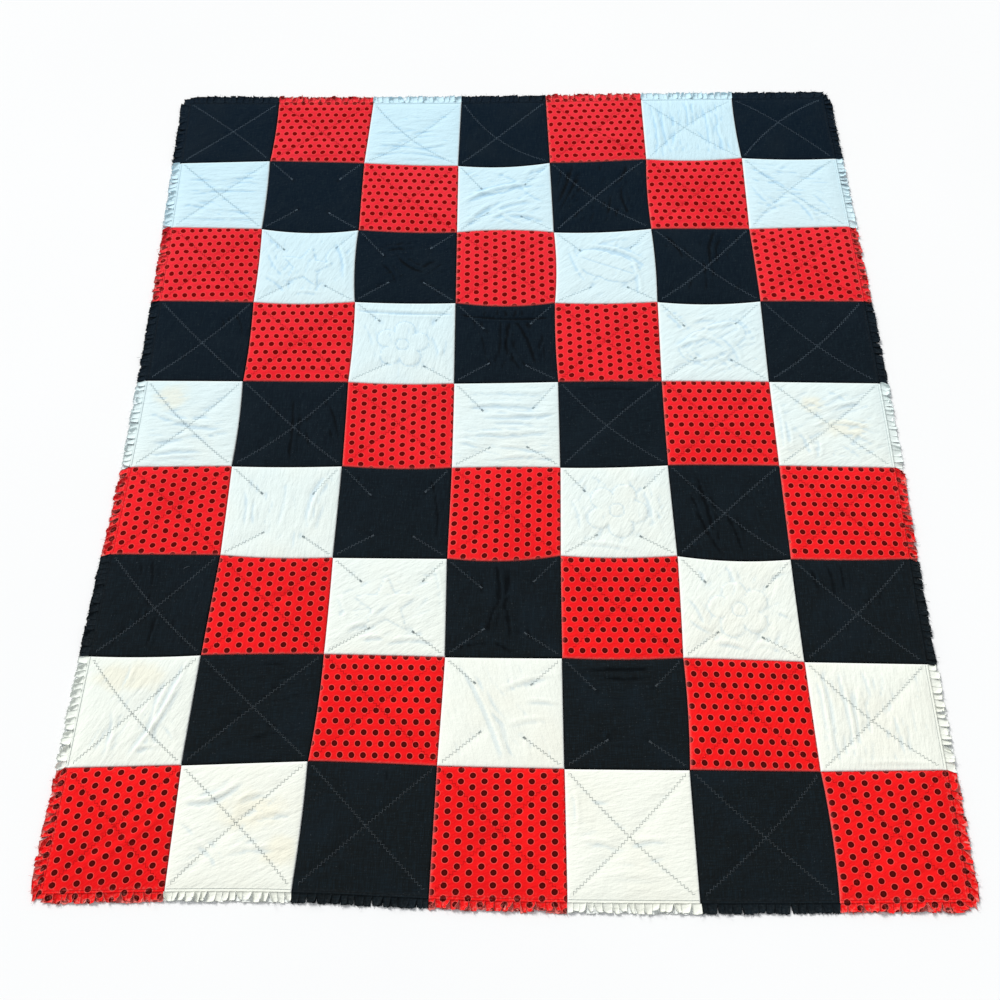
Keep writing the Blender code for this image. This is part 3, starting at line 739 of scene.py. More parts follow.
def black_cotton():
    """Plain black cotton with grey lint, bluer towards the head in a painted tint of the cool light there."""
    material, shader, s = start_cloth("black_cotton", 0.95, 0.10)
    weave_uv, ripple_uv, place, reverse, wear, rim, hollow_shade, footward = cloth_inputs(s)
    ground = footward.step(0.0, 0.9).mix((0.0002, 0.0066, 0.0158, 1), (0.0052, 0.0074, 0.0084, 1))
    threads = s.noise(s.stretched(weave_uv, (700, 45, 1)), 1.0, 2.0)
    cross_threads = s.noise(s.stretched(weave_uv, (45, 700, 1)), 1.0, 2.0)
    faded = ((threads + cross_threads) * 0.5).step(0.44, 0.66) * 0.6
    colour = faded.mix(ground, (0.009, 0.019, 0.027, 1))
    cloudy = s.noise(place, 11, 3.0).step(0.45, 0.75) * 0.4
    colour = cloudy.mix(colour, (0.007, 0.014, 0.021, 1))
    speck = s.noise(place, 430, 2.0, 0.7).step(0.66, 0.76) * 0.8
    colour = speck.mix(colour, (0.055, 0.068, 0.075, 1))
    lint = wear * s.noise(place, 300, 3.0, 0.7).step(0.45, 0.72) * 0.5
    colour = lint.mix(colour, (0.05, 0.058, 0.062, 1))
    # Painted shade in the hollows of the face, and on the next line painted shade along seams beside paler
    # patches.
    colour = (hollow_shade * 0.75).mix(colour, (0.0004, 0.0012, 0.0020, 1))
    colour = (rim * -0.85).mix(colour, (0.0002, 0.0004, 0.0006, 1))
    colour = (reverse * 0.6).mix(colour, (0.016, 0.022, 0.027, 1))
    finish_cloth(shader, s, colour, weave_height(s, weave_uv, ripple_uv, place))
    return material


def white_cotton():
    """Plain off-white cotton with faint cream stains. A painted tint of the light makes it cooler at the head
    and creamier at the foot.
    """
    material, shader, s = start_cloth("white_cotton", 0.93, 0.12)
    weave_uv, ripple_uv, place, reverse, wear, rim, hollow_shade, footward = cloth_inputs(s)
    ground = footward.step(-0.05, 0.95).mix((0.60, 0.825, 0.92, 1), (0.90, 0.92, 0.83, 1))
    clouds = s.noise(place, 7, 3.0).step(0.45, 0.72) * footward.step(0.1, 0.8) * 0.35
    colour = clouds.mix(ground, (0.86, 0.84, 0.72, 1))
    threads = s.noise(s.stretched(weave_uv, (700, 50, 1)), 1.0, 2.0)
    cross_threads = s.noise(s.stretched(weave_uv, (50, 700, 1)), 1.0, 2.0)
    colour = (((threads + cross_threads) * 0.5).step(0.5, 0.75) * 0.12).mix(colour, (0.62, 0.66, 0.66, 1))
    stains = (
        (-0.550, -0.446, 0.062, 0.027), (-0.347, -0.640, 0.058, 0.030), (-0.305, -0.695, 0.028, 0.026),
        (0.560, -0.010, 0.046, 0.022), (0.505, 0.035, 0.022, 0.018), (-0.560, 0.050, 0.030, 0.030),
    )
    for stain_x, stain_y, half_x, half_y in stains:
        centred = s.node(
            "ShaderNodeMapping", {"vector_type": "TEXTURE"},
            {"Vector": place, "Location": (stain_x, stain_y, 0), "Scale": (half_x, half_y, 1)},
        )
        reach = s.node("ShaderNodeVectorMath", {"operation": "LENGTH"}, {0: centred}, 1)
        edge = reach + (s.noise(place, 30, 3.0) - 0.5) * 1.6
        colour = ((1 - edge.step(0.35, 1.15)) * 0.42).mix(colour, (0.88, 0.82, 0.62, 1))
    colour = (wear * 0.06).mix(colour, (0.66, 0.70, 0.72, 1))
    # Painted shade in the hollows: bluish like shadows under the cool light at the head, greyer at the foot.
    shade = footward.step(0.0, 0.9).mix((0.36, 0.62, 0.84, 1), (0.64, 0.73, 0.74, 1))
    colour = (hollow_shade * 0.60).mix(colour, shade)
    # Painted highlight along the seams beside darker patches.
    colour = (rim * 0.9).mix(colour, (0.97, 0.985, 0.975, 1))
    colour = (reverse * 0.5).mix(colour, (0.84, 0.87, 0.90, 1))
    finish_cloth(shader, s, colour, weave_height(s, weave_uv, ripple_uv, place))
    return material


cottons = {"red": red_cotton(), "black": black_cotton(), "white": white_cotton()}


def add_piece(name, points, faces, material, maps, numbers):
    """A finished mesh piece of the throw, with UV maps and numbers given for each point. A map may also be
    given for each corner of each face."""
    mesh = bpy.data.meshes.new(name)
    mesh.from_pydata(points, [], faces)
    mesh.shade_smooth()
    mesh.materials.append(material)
    corners = np.empty(len(mesh.loops), np.int32)
    mesh.loops.foreach_get("vertex_index", corners)
    for map_name, places in maps.items():
        spread = places if len(places) == len(corners) else places[corners]
        mesh.uv_layers.new(name=map_name).uv.foreach_set("vector", spread.astype(np.float32).ravel())
    for number_name, values in numbers.items():
        attribute = mesh.attributes.new(number_name, "FLOAT", "POINT")
        attribute.data.foreach_set("value", values.astype(np.float32))
    piece = bpy.data.objects.new(name, mesh)
    bpy.context.scene.collection.objects.link(piece)
    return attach(piece, "root")


# The patches: each is a face of cotton turned in at its seams and quilted to the layers below it. On the
# throw's border it runs a little past the stitching, to where the cloth is snipped.
CELLS = 68
UNDER_CELLS = 4
NEAR_SEAM = (0.0, 0.0007, 0.0018)  # stations beside a seam, closer together than the rest
NEIGHBOUR_GAP = 0.0003
# A turned edge gets a painted highlight where it stands above its neighbour, on red partly also rubbed-off
# dye, and painted shade where it lies below it.
# Own cloth, neighbour's cloth: how pale, or below 0 how dark
RIM_HIGHLIGHT_AND_SHADE = {
    ("white", "black"): 1.0, ("white", "red"): 0.9, ("red", "black"): 0.9,
    ("red", "white"): -0.7, ("black", "white"): -1.0, ("black", "red"): -0.6,
}
RIM_WIDTH = 0.0016
WEAR = 0.7                        # how linty a red or black patch is at its seams, from 0 to 1
WEAR_WIDTH = 0.0018
HOLLOW_CLEAR = 0.007              # how near a seam a patch's hollows fade out


def ring_of(count):
    """Grid places round the rim of a square grid, anticlockwise from its head left corner."""
    run = np.arange(count)
    still = np.zeros(count, int)
    down = np.concatenate((run, still + count, count - run, still))
    across = np.concatenate((still, run, still + count, count - run))
    return down * (count + 1) + across


def grid_quads(down_cells, across_cells):
    """Corner numbers of a grid's cells, facing up where rows run down and columns run right."""
    first = np.arange(down_cells)[:, None] * (across_cells + 1) + np.arange(across_cells)
    quads = np.stack((first, first + across_cells + 1, first + across_cells + 2, first + 1), -1)
    return quads.reshape(-1, 4)


def patch_span(is_first, is_last, size):
    """Where a patch's cloth starts and ends across its size: past the stitching on the throw's border."""
    start = -BORDER_MARGIN if is_first else NEIGHBOUR_GAP / 2
    return start, size + BORDER_MARGIN if is_last else size - NEIGHBOUR_GAP / 2


def patch_stations(is_first, is_last, size):
    """Shares of a patch's size at its grid lines: even, but for closer ones beside both seams."""
    start, end = patch_span(is_first, is_last, size)
    close = np.array(NEAR_SEAM)
    even = np.linspace(start + close[-1], end - close[-1], CELLS + 3 - 2 * len(close))
    return np.concatenate((start + close[:-1], even, end - close[-2::-1])) / size


# Painted shade in a patch's hollows, where its face lies below the smoothed face round it.
HOLLOW_PASSES = 6
HOLLOW_FROM = 0.00012             # how far below the cloth round it a place begins to be shaded
HOLLOW_DEPTH = 0.00030            # how much deeper it is fully shaded


def hollow_shade_of(height):
    """How much painted shade a patch's face takes at each grid point, from 0 to 1: its depth below a smoothed
    face, which is the average of the four neighbours, taken over and over."""
    smooth = height
    for _ in range(HOLLOW_PASSES):
        wider = np.pad(smooth, 1, mode="edge")
        smooth = (wider[:-2, 1:-1] + wider[2:, 1:-1] + wider[1:-1, :-2] + wider[1:-1, 2:]) / 4
    return np.clip((smooth - height - HOLLOW_FROM) / HOLLOW_DEPTH, 0, 1)


def build_patch(row, column):
    """One patch: a fine grid raised by the lie of the cloth, a low wall round it, and a flat underside in
    a coarse grid with a band of wide faces round that. Also returns its grid lines and heights."""
    lines_u = patch_stations(column == 0, column == COLUMNS - 1, PATCH_WIDTH)
    lines_v = patch_stations(row == 0, row == ROWS - 1, PATCH_LENGTH)
    v, u = np.meshgrid(lines_v, lines_u, indexing="ij")
    inner = np.linspace(0.05, 0.95, UNDER_CELLS + 1)
    under_v, under_u = np.meshgrid(
        lines_v[0] + (lines_v[-1] - lines_v[0]) * inner,
        lines_u[0] + (lines_u[-1] - lines_u[0]) * inner, indexing="ij",
    )
    height = lie_of_patch(row, column)(u, v)
    ring = ring_of(CELLS)
    all_u = np.concatenate((u.ravel(), u.ravel()[ring], under_u.ravel()))
    all_v = np.concatenate((v.ravel(), v.ravel()[ring], under_v.ravel()))
    x, y = on_cloth(column + all_u, row + all_v)
    z = np.concatenate((height.ravel(), np.zeros(len(ring) + under_u.size)))

    face = grid_quads(CELLS, CELLS)
    step = np.arange(len(ring))
    ahead = (step + 1) % len(ring)
    walls = np.stack((u.size + step, u.size + ahead, ring[ahead], ring[step]), -1)
    under_base = u.size + len(ring)
    under = (under_base + grid_quads(UNDER_CELLS, UNDER_CELLS))[:, ::-1]
    under_ring = under_base + ring_of(UNDER_CELLS)
    wide = CELLS // UNDER_CELLS
    band = []
    for index in range(len(under_ring)):
        outer = (index * wide + np.arange(wide + 1)) % len(ring) + u.size
        band.append([under_ring[index], under_ring[(index + 1) % len(under_ring)], *outer[::-1]])

    turn = math.radians(RIPPLES[row][column][0])
    ripple = np.column_stack((
        x * math.cos(turn) + y * math.sin(turn) + column, y * math.cos(turn) - x * math.sin(turn) + row
    ))
    to_seam = np.minimum(
        np.abs(all_u - np.round(all_u)) * PATCH_WIDTH, np.abs(all_v - np.round(all_v)) * PATCH_LENGTH
    )
    cloth = cloth_of(row, column)
    wear = WEAR * np.exp(-to_seam / WEAR_WIDTH) * (cloth != "white")
    # Painted highlight or painted shade along each seam, by the cloths on its two sides.
    rim = to_seam * 0
    for off, next_row, next_column in (
        (all_u * PATCH_WIDTH, row, column - 1), ((1 - all_u) * PATCH_WIDTH, row, column + 1),
        (all_v * PATCH_LENGTH, row - 1, column), ((1 - all_v) * PATCH_LENGTH, row + 1, column),
    ):
        if 0 <= next_row < ROWS and 0 <= next_column < COLUMNS:
            share = RIM_HIGHLIGHT_AND_SHADE[cloth, cloth_of(next_row, next_column)] * np.exp(-((off / RIM_WIDTH) ** 2))
            rim = np.where(np.abs(share) > np.abs(rim), share, rim)
    # Painted shade in the hollows of the face, fading out near the seams.
    hollow_shade = np.concatenate((hollow_shade_of(height).ravel(), np.zeros(len(ring) + under_u.size)))
    hollow_shade = hollow_shade * (1 - np.exp(-((to_seam / HOLLOW_CLEAR) ** 2)))
    patch = add_piece(
        f"patch_{patch_name(row, column)}", np.column_stack((x, y, z)),
        [*face.tolist(), *walls.tolist(), *under.tolist(), *band], cottons[cloth],
        {"weave": grain(row, column, x, y), "ripple": ripple},
        {"wear": wear, "reverse": wear * 0, "rim": rim, "hollow_shade": hollow_shade},
    )
    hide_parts("quilt")
    return patch, (lines_u, lines_v, height)


patches, faces_of_cloth = {}, {}
for row in range(ROWS):
    for column in range(COLUMNS):
        patches[row, column], faces_of_cloth[row, column] = build_patch(row, column)


def on_face(row, column, u, v):
    """Height of a patch's mesh at places across and down it, between its grid lines."""
    lines_u, lines_v, height = faces_of_cloth[row, column]
    i = np.clip(np.searchsorted(lines_v, v) - 1, 0, len(lines_v) - 2)
    j = np.clip(np.searchsorted(lines_u, u) - 1, 0, len(lines_u) - 2)
    s = np.clip((v - lines_v[i]) / (lines_v[i + 1] - lines_v[i]), 0, 1)
    t = np.clip((u - lines_u[j]) / (lines_u[j + 1] - lines_u[j]), 0, 1)
    head = height[i, j] * (1 - t) + height[i, j + 1] * t
    foot = height[i + 1, j] * (1 - t) + height[i + 1, j + 1] * t
    return head * (1 - s) + foot * s


# The sewing: fine thread, in a zigzag along the crosses, and in a plain run of short stitches along the
# throw's border. It goes down into the cloth at each needle hole. It is grey on white and black cloth, dark
# red on red cloth, and black along the border of black cloth.
THREAD_RADIUS = 0.00021
ZIGZAG_HALF = 0.0020
ZIGZAG_STEP = 0.0030
ZIGZAG_LIFT = 0.00030
BAR_STITCHES = 9
BAR_STEP = 0.00055
RUN_STEP = 0.0027
RUN_LIFT = 0.00025


def tubes(paths, radius, sides):
    """Round threads along paths, an array of threads by points by three: a ring of points round every
    point of a path, square to it, with its two ends closed."""
    ahead = np.gradient(paths, axis=1)
    ahead /= np.linalg.norm(ahead, axis=2, keepdims=True)
    beside = np.cross(ahead, (0.0, 0.0, 1.0))
    beside /= np.maximum(np.linalg.norm(beside, axis=2, keepdims=True), 1e-9)
    above = np.cross(beside, ahead)
    angle = 2 * np.pi * (np.arange(sides) + 0.5) / sides
    spokes = np.cos(angle)[:, None] * beside[:, :, None] + np.sin(angle)[:, None] * above[:, :, None]
    points = (paths[:, :, None] + radius * spokes).reshape(-1, 3)
    threads, stations = paths.shape[:2]
    ring = np.arange(threads * stations * sides).reshape(threads, stations, sides)
    turned = np.roll(ring, -1, 2)
    walls = np.stack((ring[:, :-1], ring[:, 1:], turned[:, 1:], turned[:, :-1]), -1).reshape(-1, 4)
    caps = np.concatenate((ring[:, 0], ring[:, -1, ::-1]))
    return points, walls.tolist() + caps.tolist()


def stitch_path(row, column, line, step, half_width, lift, bar=0):
    """Points of one row of stitches along a line of places across and down a patch: needle holes every
    step, to either side by half the width, with the thread lifted between them. A bar of tight stitches
    may end it."""
    scale = np.array((PATCH_WIDTH, PATCH_LENGTH))
    metres = line * scale
    run = np.concatenate(([0.0], np.cumsum(np.hypot(*np.diff(metres, axis=0).T))))
    holes = int((run[-1] - bar * BAR_STEP) / step)
    at = np.concatenate((np.arange(holes + 1) * step, holes * step + np.arange(1, bar + 1) * BAR_STEP))
    halfway = (at[1:] + at[:-1]) / 2
    at = np.insert(at, np.arange(1, len(at)), halfway)
    number = np.arange(len(at))
    rng = np.random.default_rng(int(1e4 * (run[-1] + row) + column))
    side = np.where(number % 2 == 0, np.where(number % 4 == 0, 1.0, -1.0), 0.0)
    side = side * half_width * rng.uniform(0.88, 1.06, len(at))
    middle = np.column_stack([np.interp(at, run, metres[:, axis]) for axis in (0, 1)])
    ahead = np.gradient(middle, axis=0)
    ahead /= np.linalg.norm(ahead, axis=1, keepdims=True)
    middle = middle + side[:, None] * np.column_stack((-ahead[:, 1], ahead[:, 0]))
    u, v = (middle / scale).T
    x, y = on_cloth(column + u, row + v)
    z = on_face(row, column, u, v) + np.where(number % 2 == 0, 0.0, lift) + 0.7 * THREAD_RADIUS
    return np.column_stack((x, y, z))[None]


def border_lines(row, column):
    """Lines of the throw's border stitching on one patch, as places across and down it."""
    t = np.linspace(0.004, 0.996, 40)
    still = np.zeros(40)
    lines = {
        "head": np.column_stack((t, still)), "foot": np.column_stack((t, still + 1)),
        "left": np.column_stack((still, t)), "right": np.column_stack((still + 1, t)),
    }
    held = {"head": row == 0, "foot": row == ROWS - 1, "left": column == 0, "right": column == COLUMNS - 1}
    return [lines[side] for side in lines if held[side]]


def sewing_thread(name, head, foot):
    """Spun thread, lighter where its fibres are rubbed, and paler and bluer towards the head in a painted
    tint of the cool light there.
    """
    material, shader, s = start_cloth(name, 0.75, 0.25)
    place = s.node("ShaderNodeTexCoord", None, None, 3)
    footward = 0.5 - place.part(1) / THROW_LENGTH
    colour = footward.step(0.0, 0.95).mix((*head, 1), (*foot, 1))
    rubbed = s.noise(place, 700, 2.0).step(0.40, 0.70) * 0.3
    colour = rubbed.mix(colour, (*(1.3 * part for part in head), 1))
    s.tree.links.new(colour.output, shader.inputs["Base Color"])
    return material


light_thread = sewing_thread("light_grey_thread", (0.56, 0.70, 0.76), (0.125, 0.150, 0.155))
grey_thread = sewing_thread("grey_thread", (0.17, 0.24, 0.31), (0.110, 0.125, 0.135))
red_thread = sewing_thread("red_thread", (0.50, 0.006, 0.012), (0.46, 0.003, 0.006))
black_thread = sewing_thread("black_thread", (0.006, 0.010, 0.014), (0.006, 0.008, 0.010))
cross_threads = {"white": light_thread, "black": grey_thread, "red": red_thread}
border_threads = {"white": light_thread, "black": black_thread, "red": red_thread}
# A loose thread end that lies on one patch: its middle across and down, half length and half bow
STRAY_END = {"r7c1": (0.72, 0.14, 0.0045, 0.0012)}


def stray_end(row, column, u, v, half_length, half_bow):
    """A short bowed end of thread that lies on a patch."""
    t = np.linspace(-1, 1, 7)
    at_u = u + t * half_length / PATCH_WIDTH
    at_v = v - (0.45 * t * half_length + (1 - t ** 2) * half_bow) / PATCH_LENGTH
    x, y = on_cloth(column + at_u, row + at_v)
    return np.column_stack((x, y, on_face(row, column, at_u, at_v) + 0.0006))[None]


def add_sewing(name, paths, material):
    """One piece from stitch paths."""
    points, faces = [], []
    for path in paths:
        some_points, some_faces = tubes(path, THREAD_RADIUS, 3)
        base = sum(len(part) for part in points)
        points.append(some_points)
        faces += [[base + corner for corner in face] for face in some_faces]
    return add_piece(name, np.concatenate(points), faces, material, {}, {})


sewing = {place: [] for place in patches}
for row, column in patches:
    name = patch_name(row, column)
    cloth = cloth_of(row, column)
    bar = BAR_STITCHES if name in SHORT_RUNS else 0
    paths = [
        stitch_path(row, column, arm, ZIGZAG_STEP, ZIGZAG_HALF, ZIGZAG_LIFT, bar)
        for arm in cross_arms(row, column)
    ]
    if name in STRAY_END:
        paths.append(stray_end(row, column, *STRAY_END[name]))
    sewing[row, column].append(add_sewing(f"cross_{name}", paths, cross_threads[cloth]))
    paths = [stitch_path(row, column, line, RUN_STEP, 0.0, RUN_LIFT) for line in border_lines(row, column)]
    if paths:
        sewing[row, column].append(add_sewing(f"border_line_{name}", paths, border_threads[cloth]))

# The frayed border: past its stitching the cloth is snipped into tabs about 10 mm wide, and washed until
# they curl and their ends ravel. Each tab is two cloths: the back one lies flat, the face one rolls up.
# Each side: how far it reaches past the stitching, tabs for each patch, and the solid that it replaces
FRAYED_SIDES = {
    "head": (0.0200, 17, "fringe_head"), "foot": (0.0168, 17, "fringe_foot"),
    "left": (0.0188, 16, "fringe_left"), "right": (0.0183, 16, "fringe_right"),
}
TAB_ROWS = 6
TAB_COLUMNS = 5
CLOTH_THICKNESS = 0.0005
CURLS = {"white": 0.95, "red": 1.05, "black": 0.50}
LEANS = {"white": 0.15, "red": 0.35, "black": 0.20}  # radians that tabs on the long sides lean to the foot
# Share of its width that a tab loses at its tip, besides what every tab loses. Head tabs lose no more.
TAPERS = {"white": 0.02, "red": 0.06, "black": 0.17}
TAB_LIFT = 0.0003                 # every second tab lies over its neighbours
CORNER_RADIUS = 0.034             # of the border's outline at the throw's corners
ROUND_FROM = 0.030                # how near a corner of the throw the tabs begin to fan out
FAN = math.radians(45)
YARNS = 4                         # ravelled yarns for each tab
YARN_RADIUS = 0.00017
YARN_TOP = 0.0090


def frayed_cloth(rng, tabs, width, length, spread, curl, is_face):
    """Shape of one cloth of each tab, as arrays of tabs by rows by columns: how far each point lies to the
    right, outwards and up. Both ways its slopes add up from cell to cell. Along the tab the slope grows past
    a start of its own, and across it one edge rolls over towards the middle."""
    s = np.linspace(0, 1, TAB_ROWS + 1)
    cell = (np.arange(TAB_COLUMNS) + 0.5) / TAB_COLUMNS * 2 - 1
    if is_face:
        begin = rng.uniform(0.30, 0.70, tabs)
        rise = curl * rng.gamma(1.3, 0.55, tabs).clip(0, 2.0)
        roll = curl * rng.uniform(0.4, 3.0, tabs)
        root, rest = 0.0034, 0.0017
    else:
        begin = rng.uniform(0.2, 0.6, tabs)
        rise = curl * rng.normal(0.15, 0.20, tabs).clip(0, 0.8)
        roll = curl * rng.uniform(0.0, 0.7, tabs)
        root, rest = 0.0014, 0.0009
    rolled_side = rng.choice((-1, 1), tabs)
    share = np.clip((s - begin[:, None]) / (1 - begin[:, None]), 0, 1)
    slope = rise[:, None] * share ** 1.3
    middle_slope = (slope[:, 1:] + slope[:, :-1]) / 2
    start = np.zeros((tabs, 1))
    out = np.concatenate((start, np.cumsum(np.cos(middle_slope), 1)), 1) * length[:, None] / TAB_ROWS
    up = np.concatenate((start, np.cumsum(np.sin(middle_slope), 1)), 1) * length[:, None] / TAB_ROWS
    turn = np.clip((rolled_side[:, None] * cell + 0.35) / 1.35, 0, 1) ** 1.2
    turn = (rolled_side * roll)[:, None, None] * turn[:, None] * (0.3 + 0.7 * s)[:, None]
    wide = width[:, None, None] * (1 - 0.06 * s ** 2)[:, None] + spread[:, None, None] * s[:, None]
    start = np.zeros((tabs, TAB_ROWS + 1, 1))
    right = np.concatenate((start, np.cumsum(np.cos(turn), -1)), -1) * wide / TAB_COLUMNS
    arch = np.concatenate((start, np.cumsum(np.sin(turn), -1)), -1) * wide / TAB_COLUMNS
    rolls_left = rolled_side[:, None, None] < 0
    right = np.where(rolls_left, right - right[..., -1:] + wide / 2, right - wide / 2)
    arch = arch - arch.min(-1, keepdims=True)
    ragged = rng.uniform(-0.0010, 0.0007, (tabs, 1, TAB_COLUMNS + 1)) * s[:, None] ** 3
    slope = slope[:, :, None]
    out = out[:, :, None] + ragged * np.cos(slope) - arch * np.sin(slope)
    up = rest + (root - rest) * ((1 - s) ** 2)[:, None] + up[:, :, None] + arch * np.cos(slope)
    return right, out, up


def build_frayed_edge(side, index):
    """One patch's stretch of the border. Its tabs stand square to the stitching, and near a corner of the
    throw they fan out round it, by an angle that grows towards the corner."""
    reach, tabs, node = FRAYED_SIDES[side]
    along_x = side in ("head", "foot")
    row = {"head": 0, "foot": ROWS - 1}.get(side, index)
    column = {"left": 0, "right": COLUMNS - 1}.get(side, index)
    size, last = (PATCH_WIDTH, COLUMNS - 1) if along_x else (PATCH_LENGTH, ROWS - 1)
    cloth = cloth_of(row, column)
    rng = np.random.default_rng(1000 * list(FRAYED_SIDES).index(side) + index)

    low = -BORDER_MARGIN if index == 0 else 0.0
    high = size + (BORDER_MARGIN if index == last else 0.0)
    cuts = np.cumsum(np.concatenate(([0.0], rng.uniform(0.70, 1.30, tabs))))
    cuts = low + (high - low) * cuts / cuts[-1]
    middle = (cuts[1:] + cuts[:-1]) / 2
    pitch = cuts[1:] - cuts[:-1]

    def fan_at(along):
        """Angle of a tab away from square to the stitching, at places in metres along it."""
        span = ROUND_FROM + BORDER_MARGIN
        near_start = np.clip((ROUND_FROM - along) / span, 0, 1) if index == 0 else along * 0
        near_end = np.clip((ROUND_FROM - size + along) / span, 0, 1) if index == last else along * 0
        return FAN * (near_end ** 1.2 - near_start ** 1.2)

    def spot(along, out):
        """X and Y of places in metres along the patch's outer side and out past it."""
        share = along / size
        u = share if along_x else (-out / PATCH_WIDTH if side == "left" else 1 + out / PATCH_WIDTH)
        v = share if not along_x else (-out / PATCH_LENGTH if side == "head" else 1 + out / PATCH_LENGTH)
        return np.stack(on_cloth(column + u + 0 * v, row + v + 0 * u), -1)

    run = spot(middle + 0.004, middle * 0) - spot(middle - 0.004, middle * 0)
    run /= np.linalg.norm(run, axis=1, keepdims=True)
    away = {"head": (0, 1), "foot": (0, -1), "left": (-1, 0), "right": (1, 0)}[side]
    away = np.array(away) - run * (run @ np.array(away))[:, None]
    away /= np.linalg.norm(away, axis=1, keepdims=True)
    run, away = run[:, None, None], away[:, None, None]

    def length_at(along):
        """How long a tab is at places along the stitching, so that it ends on the border's outline: straight,
        and an arc round each corner of the throw."""
        inside = CORNER_RADIUS - reach
        past_first = inside - along if index == 0 else along * 0 - 1
        past_last = inside - size + along if index == last else along * 0 - 1
        past = np.maximum(past_first, past_last)
        angle = np.abs(fan_at(along))
        depth = inside + BORDER_MARGIN
        straight = (reach - BORDER_MARGIN) / np.cos(angle)
        ahead = past * np.sin(angle) + depth * np.cos(angle)
        arc = np.sqrt(np.maximum(ahead ** 2 - past ** 2 - depth ** 2 + CORNER_RADIUS ** 2, 0)) - ahead
        return np.where(past + straight * np.sin(angle) > 0, arc, straight)

    s = np.linspace(0, 1, TAB_ROWS + 1)[:, None]
    t = np.linspace(-1, 1, TAB_COLUMNS + 1)
    cell = grid_quads(TAB_ROWS, TAB_COLUMNS)
    tab_points = (TAB_ROWS + 1) * (TAB_COLUMNS + 1)
    grid = np.arange(tab_points).reshape(TAB_ROWS + 1, TAB_COLUMNS + 1)
    rim = np.concatenate((grid[:-1, 0], grid[-1, :-1], grid[:0:-1, -1], grid[0, :0:-1]))
    points, faces, weave, reverse, wear, ends = [], [], [], [], [], []
    for is_face in (False, True):
        width = pitch * (rng.uniform(0.98, 1.16, tabs) if is_face else rng.uniform(1.12, 1.26, tabs))
        straight = 1 - np.abs(fan_at(middle)) / FAN
        unevenness = rng.uniform(-0.0024, 0.0009, tabs) * (0.5 + 0.5 * CURLS[cloth])
        length = length_at(middle) + unevenness * straight
        taper = 0.0 if side == "head" else TAPERS[cloth]
        spread = np.abs(fan_at(cuts[1:]) - fan_at(cuts[:-1])) * length - taper * straight * width
        right, out, z = frayed_cloth(rng, tabs, width, length, spread, CURLS[cloth], is_face)
        z = z + TAB_LIFT * (np.arange(tabs) % 2)[:, None, None]
        lean = rng.normal(0 if along_x else LEANS[cloth], 0.10 if is_face else 0.04, tabs)
        lean = (lean * straight)[:, None, None]
        shift = 0.0 if is_face else rng.normal(0, 0.0010, tabs)[:, None, None]
        along = middle[:, None, None] + right + shift
        angle = (fan_at(along) + lean)[..., None]
        flat = spot(along, along * 0 + BORDER_MARGIN + 0.0001)
        flat = flat + (np.cos(angle) * away + np.sin(angle) * run) * out[..., None]
        face = np.concatenate((flat, z[..., None]), -1)
        ahead = np.gradient(face, axis=1)
        normal = np.cross(ahead, np.gradient(face, axis=2))
        normal /= np.linalg.norm(normal, axis=-1, keepdims=True)
        upward = np.sign(normal[:, :1, :1, 2:])
        back = face - normal * upward * CLOTH_THICKNESS
        back[..., 2] = np.maximum(back[..., 2], 0.0001)
        turned = upward.ravel()[0] < 0
        place = spot(
            middle[:, None, None] + t * (width / 2)[:, None, None] + 0 * s,
            BORDER_MARGIN + s * length[:, None, None] + 0 * t,
        )
        base = sum(len(part) for part in points)
        first = base + np.arange(tabs)[:, None, None] * tab_points
        back_first = first + tabs * tab_points
        for sheet, start, is_back in ((face, first, False), (back, back_first, True)):
            quads = (start + cell).reshape(-1, 4)
            faces += (quads[:, ::-1] if turned == is_back else quads).tolist()
            points.append(sheet.reshape(-1, 3))
            weave.append(grain(row, column, place[..., 0], place[..., 1]).reshape(-1, 2))
            reverse.append(np.full(sheet.size // 3, float(is_face == is_back)))
            wear.append(np.broadcast_to(0.25 + 0.75 * s ** 2 + 0 * right, right.shape).ravel())
        ring, following = rim, np.roll(rim, -1)
        walls = np.stack((
            back_first[:, 0] + ring, back_first[:, 0] + following,
            first[:, 0] + following, first[:, 0] + ring,
        ), -1).reshape(-1, 4)
        faces += (walls[:, ::-1] if turned else walls).tolist()
        ends.append((face[:, -1], ahead[:, -1]))

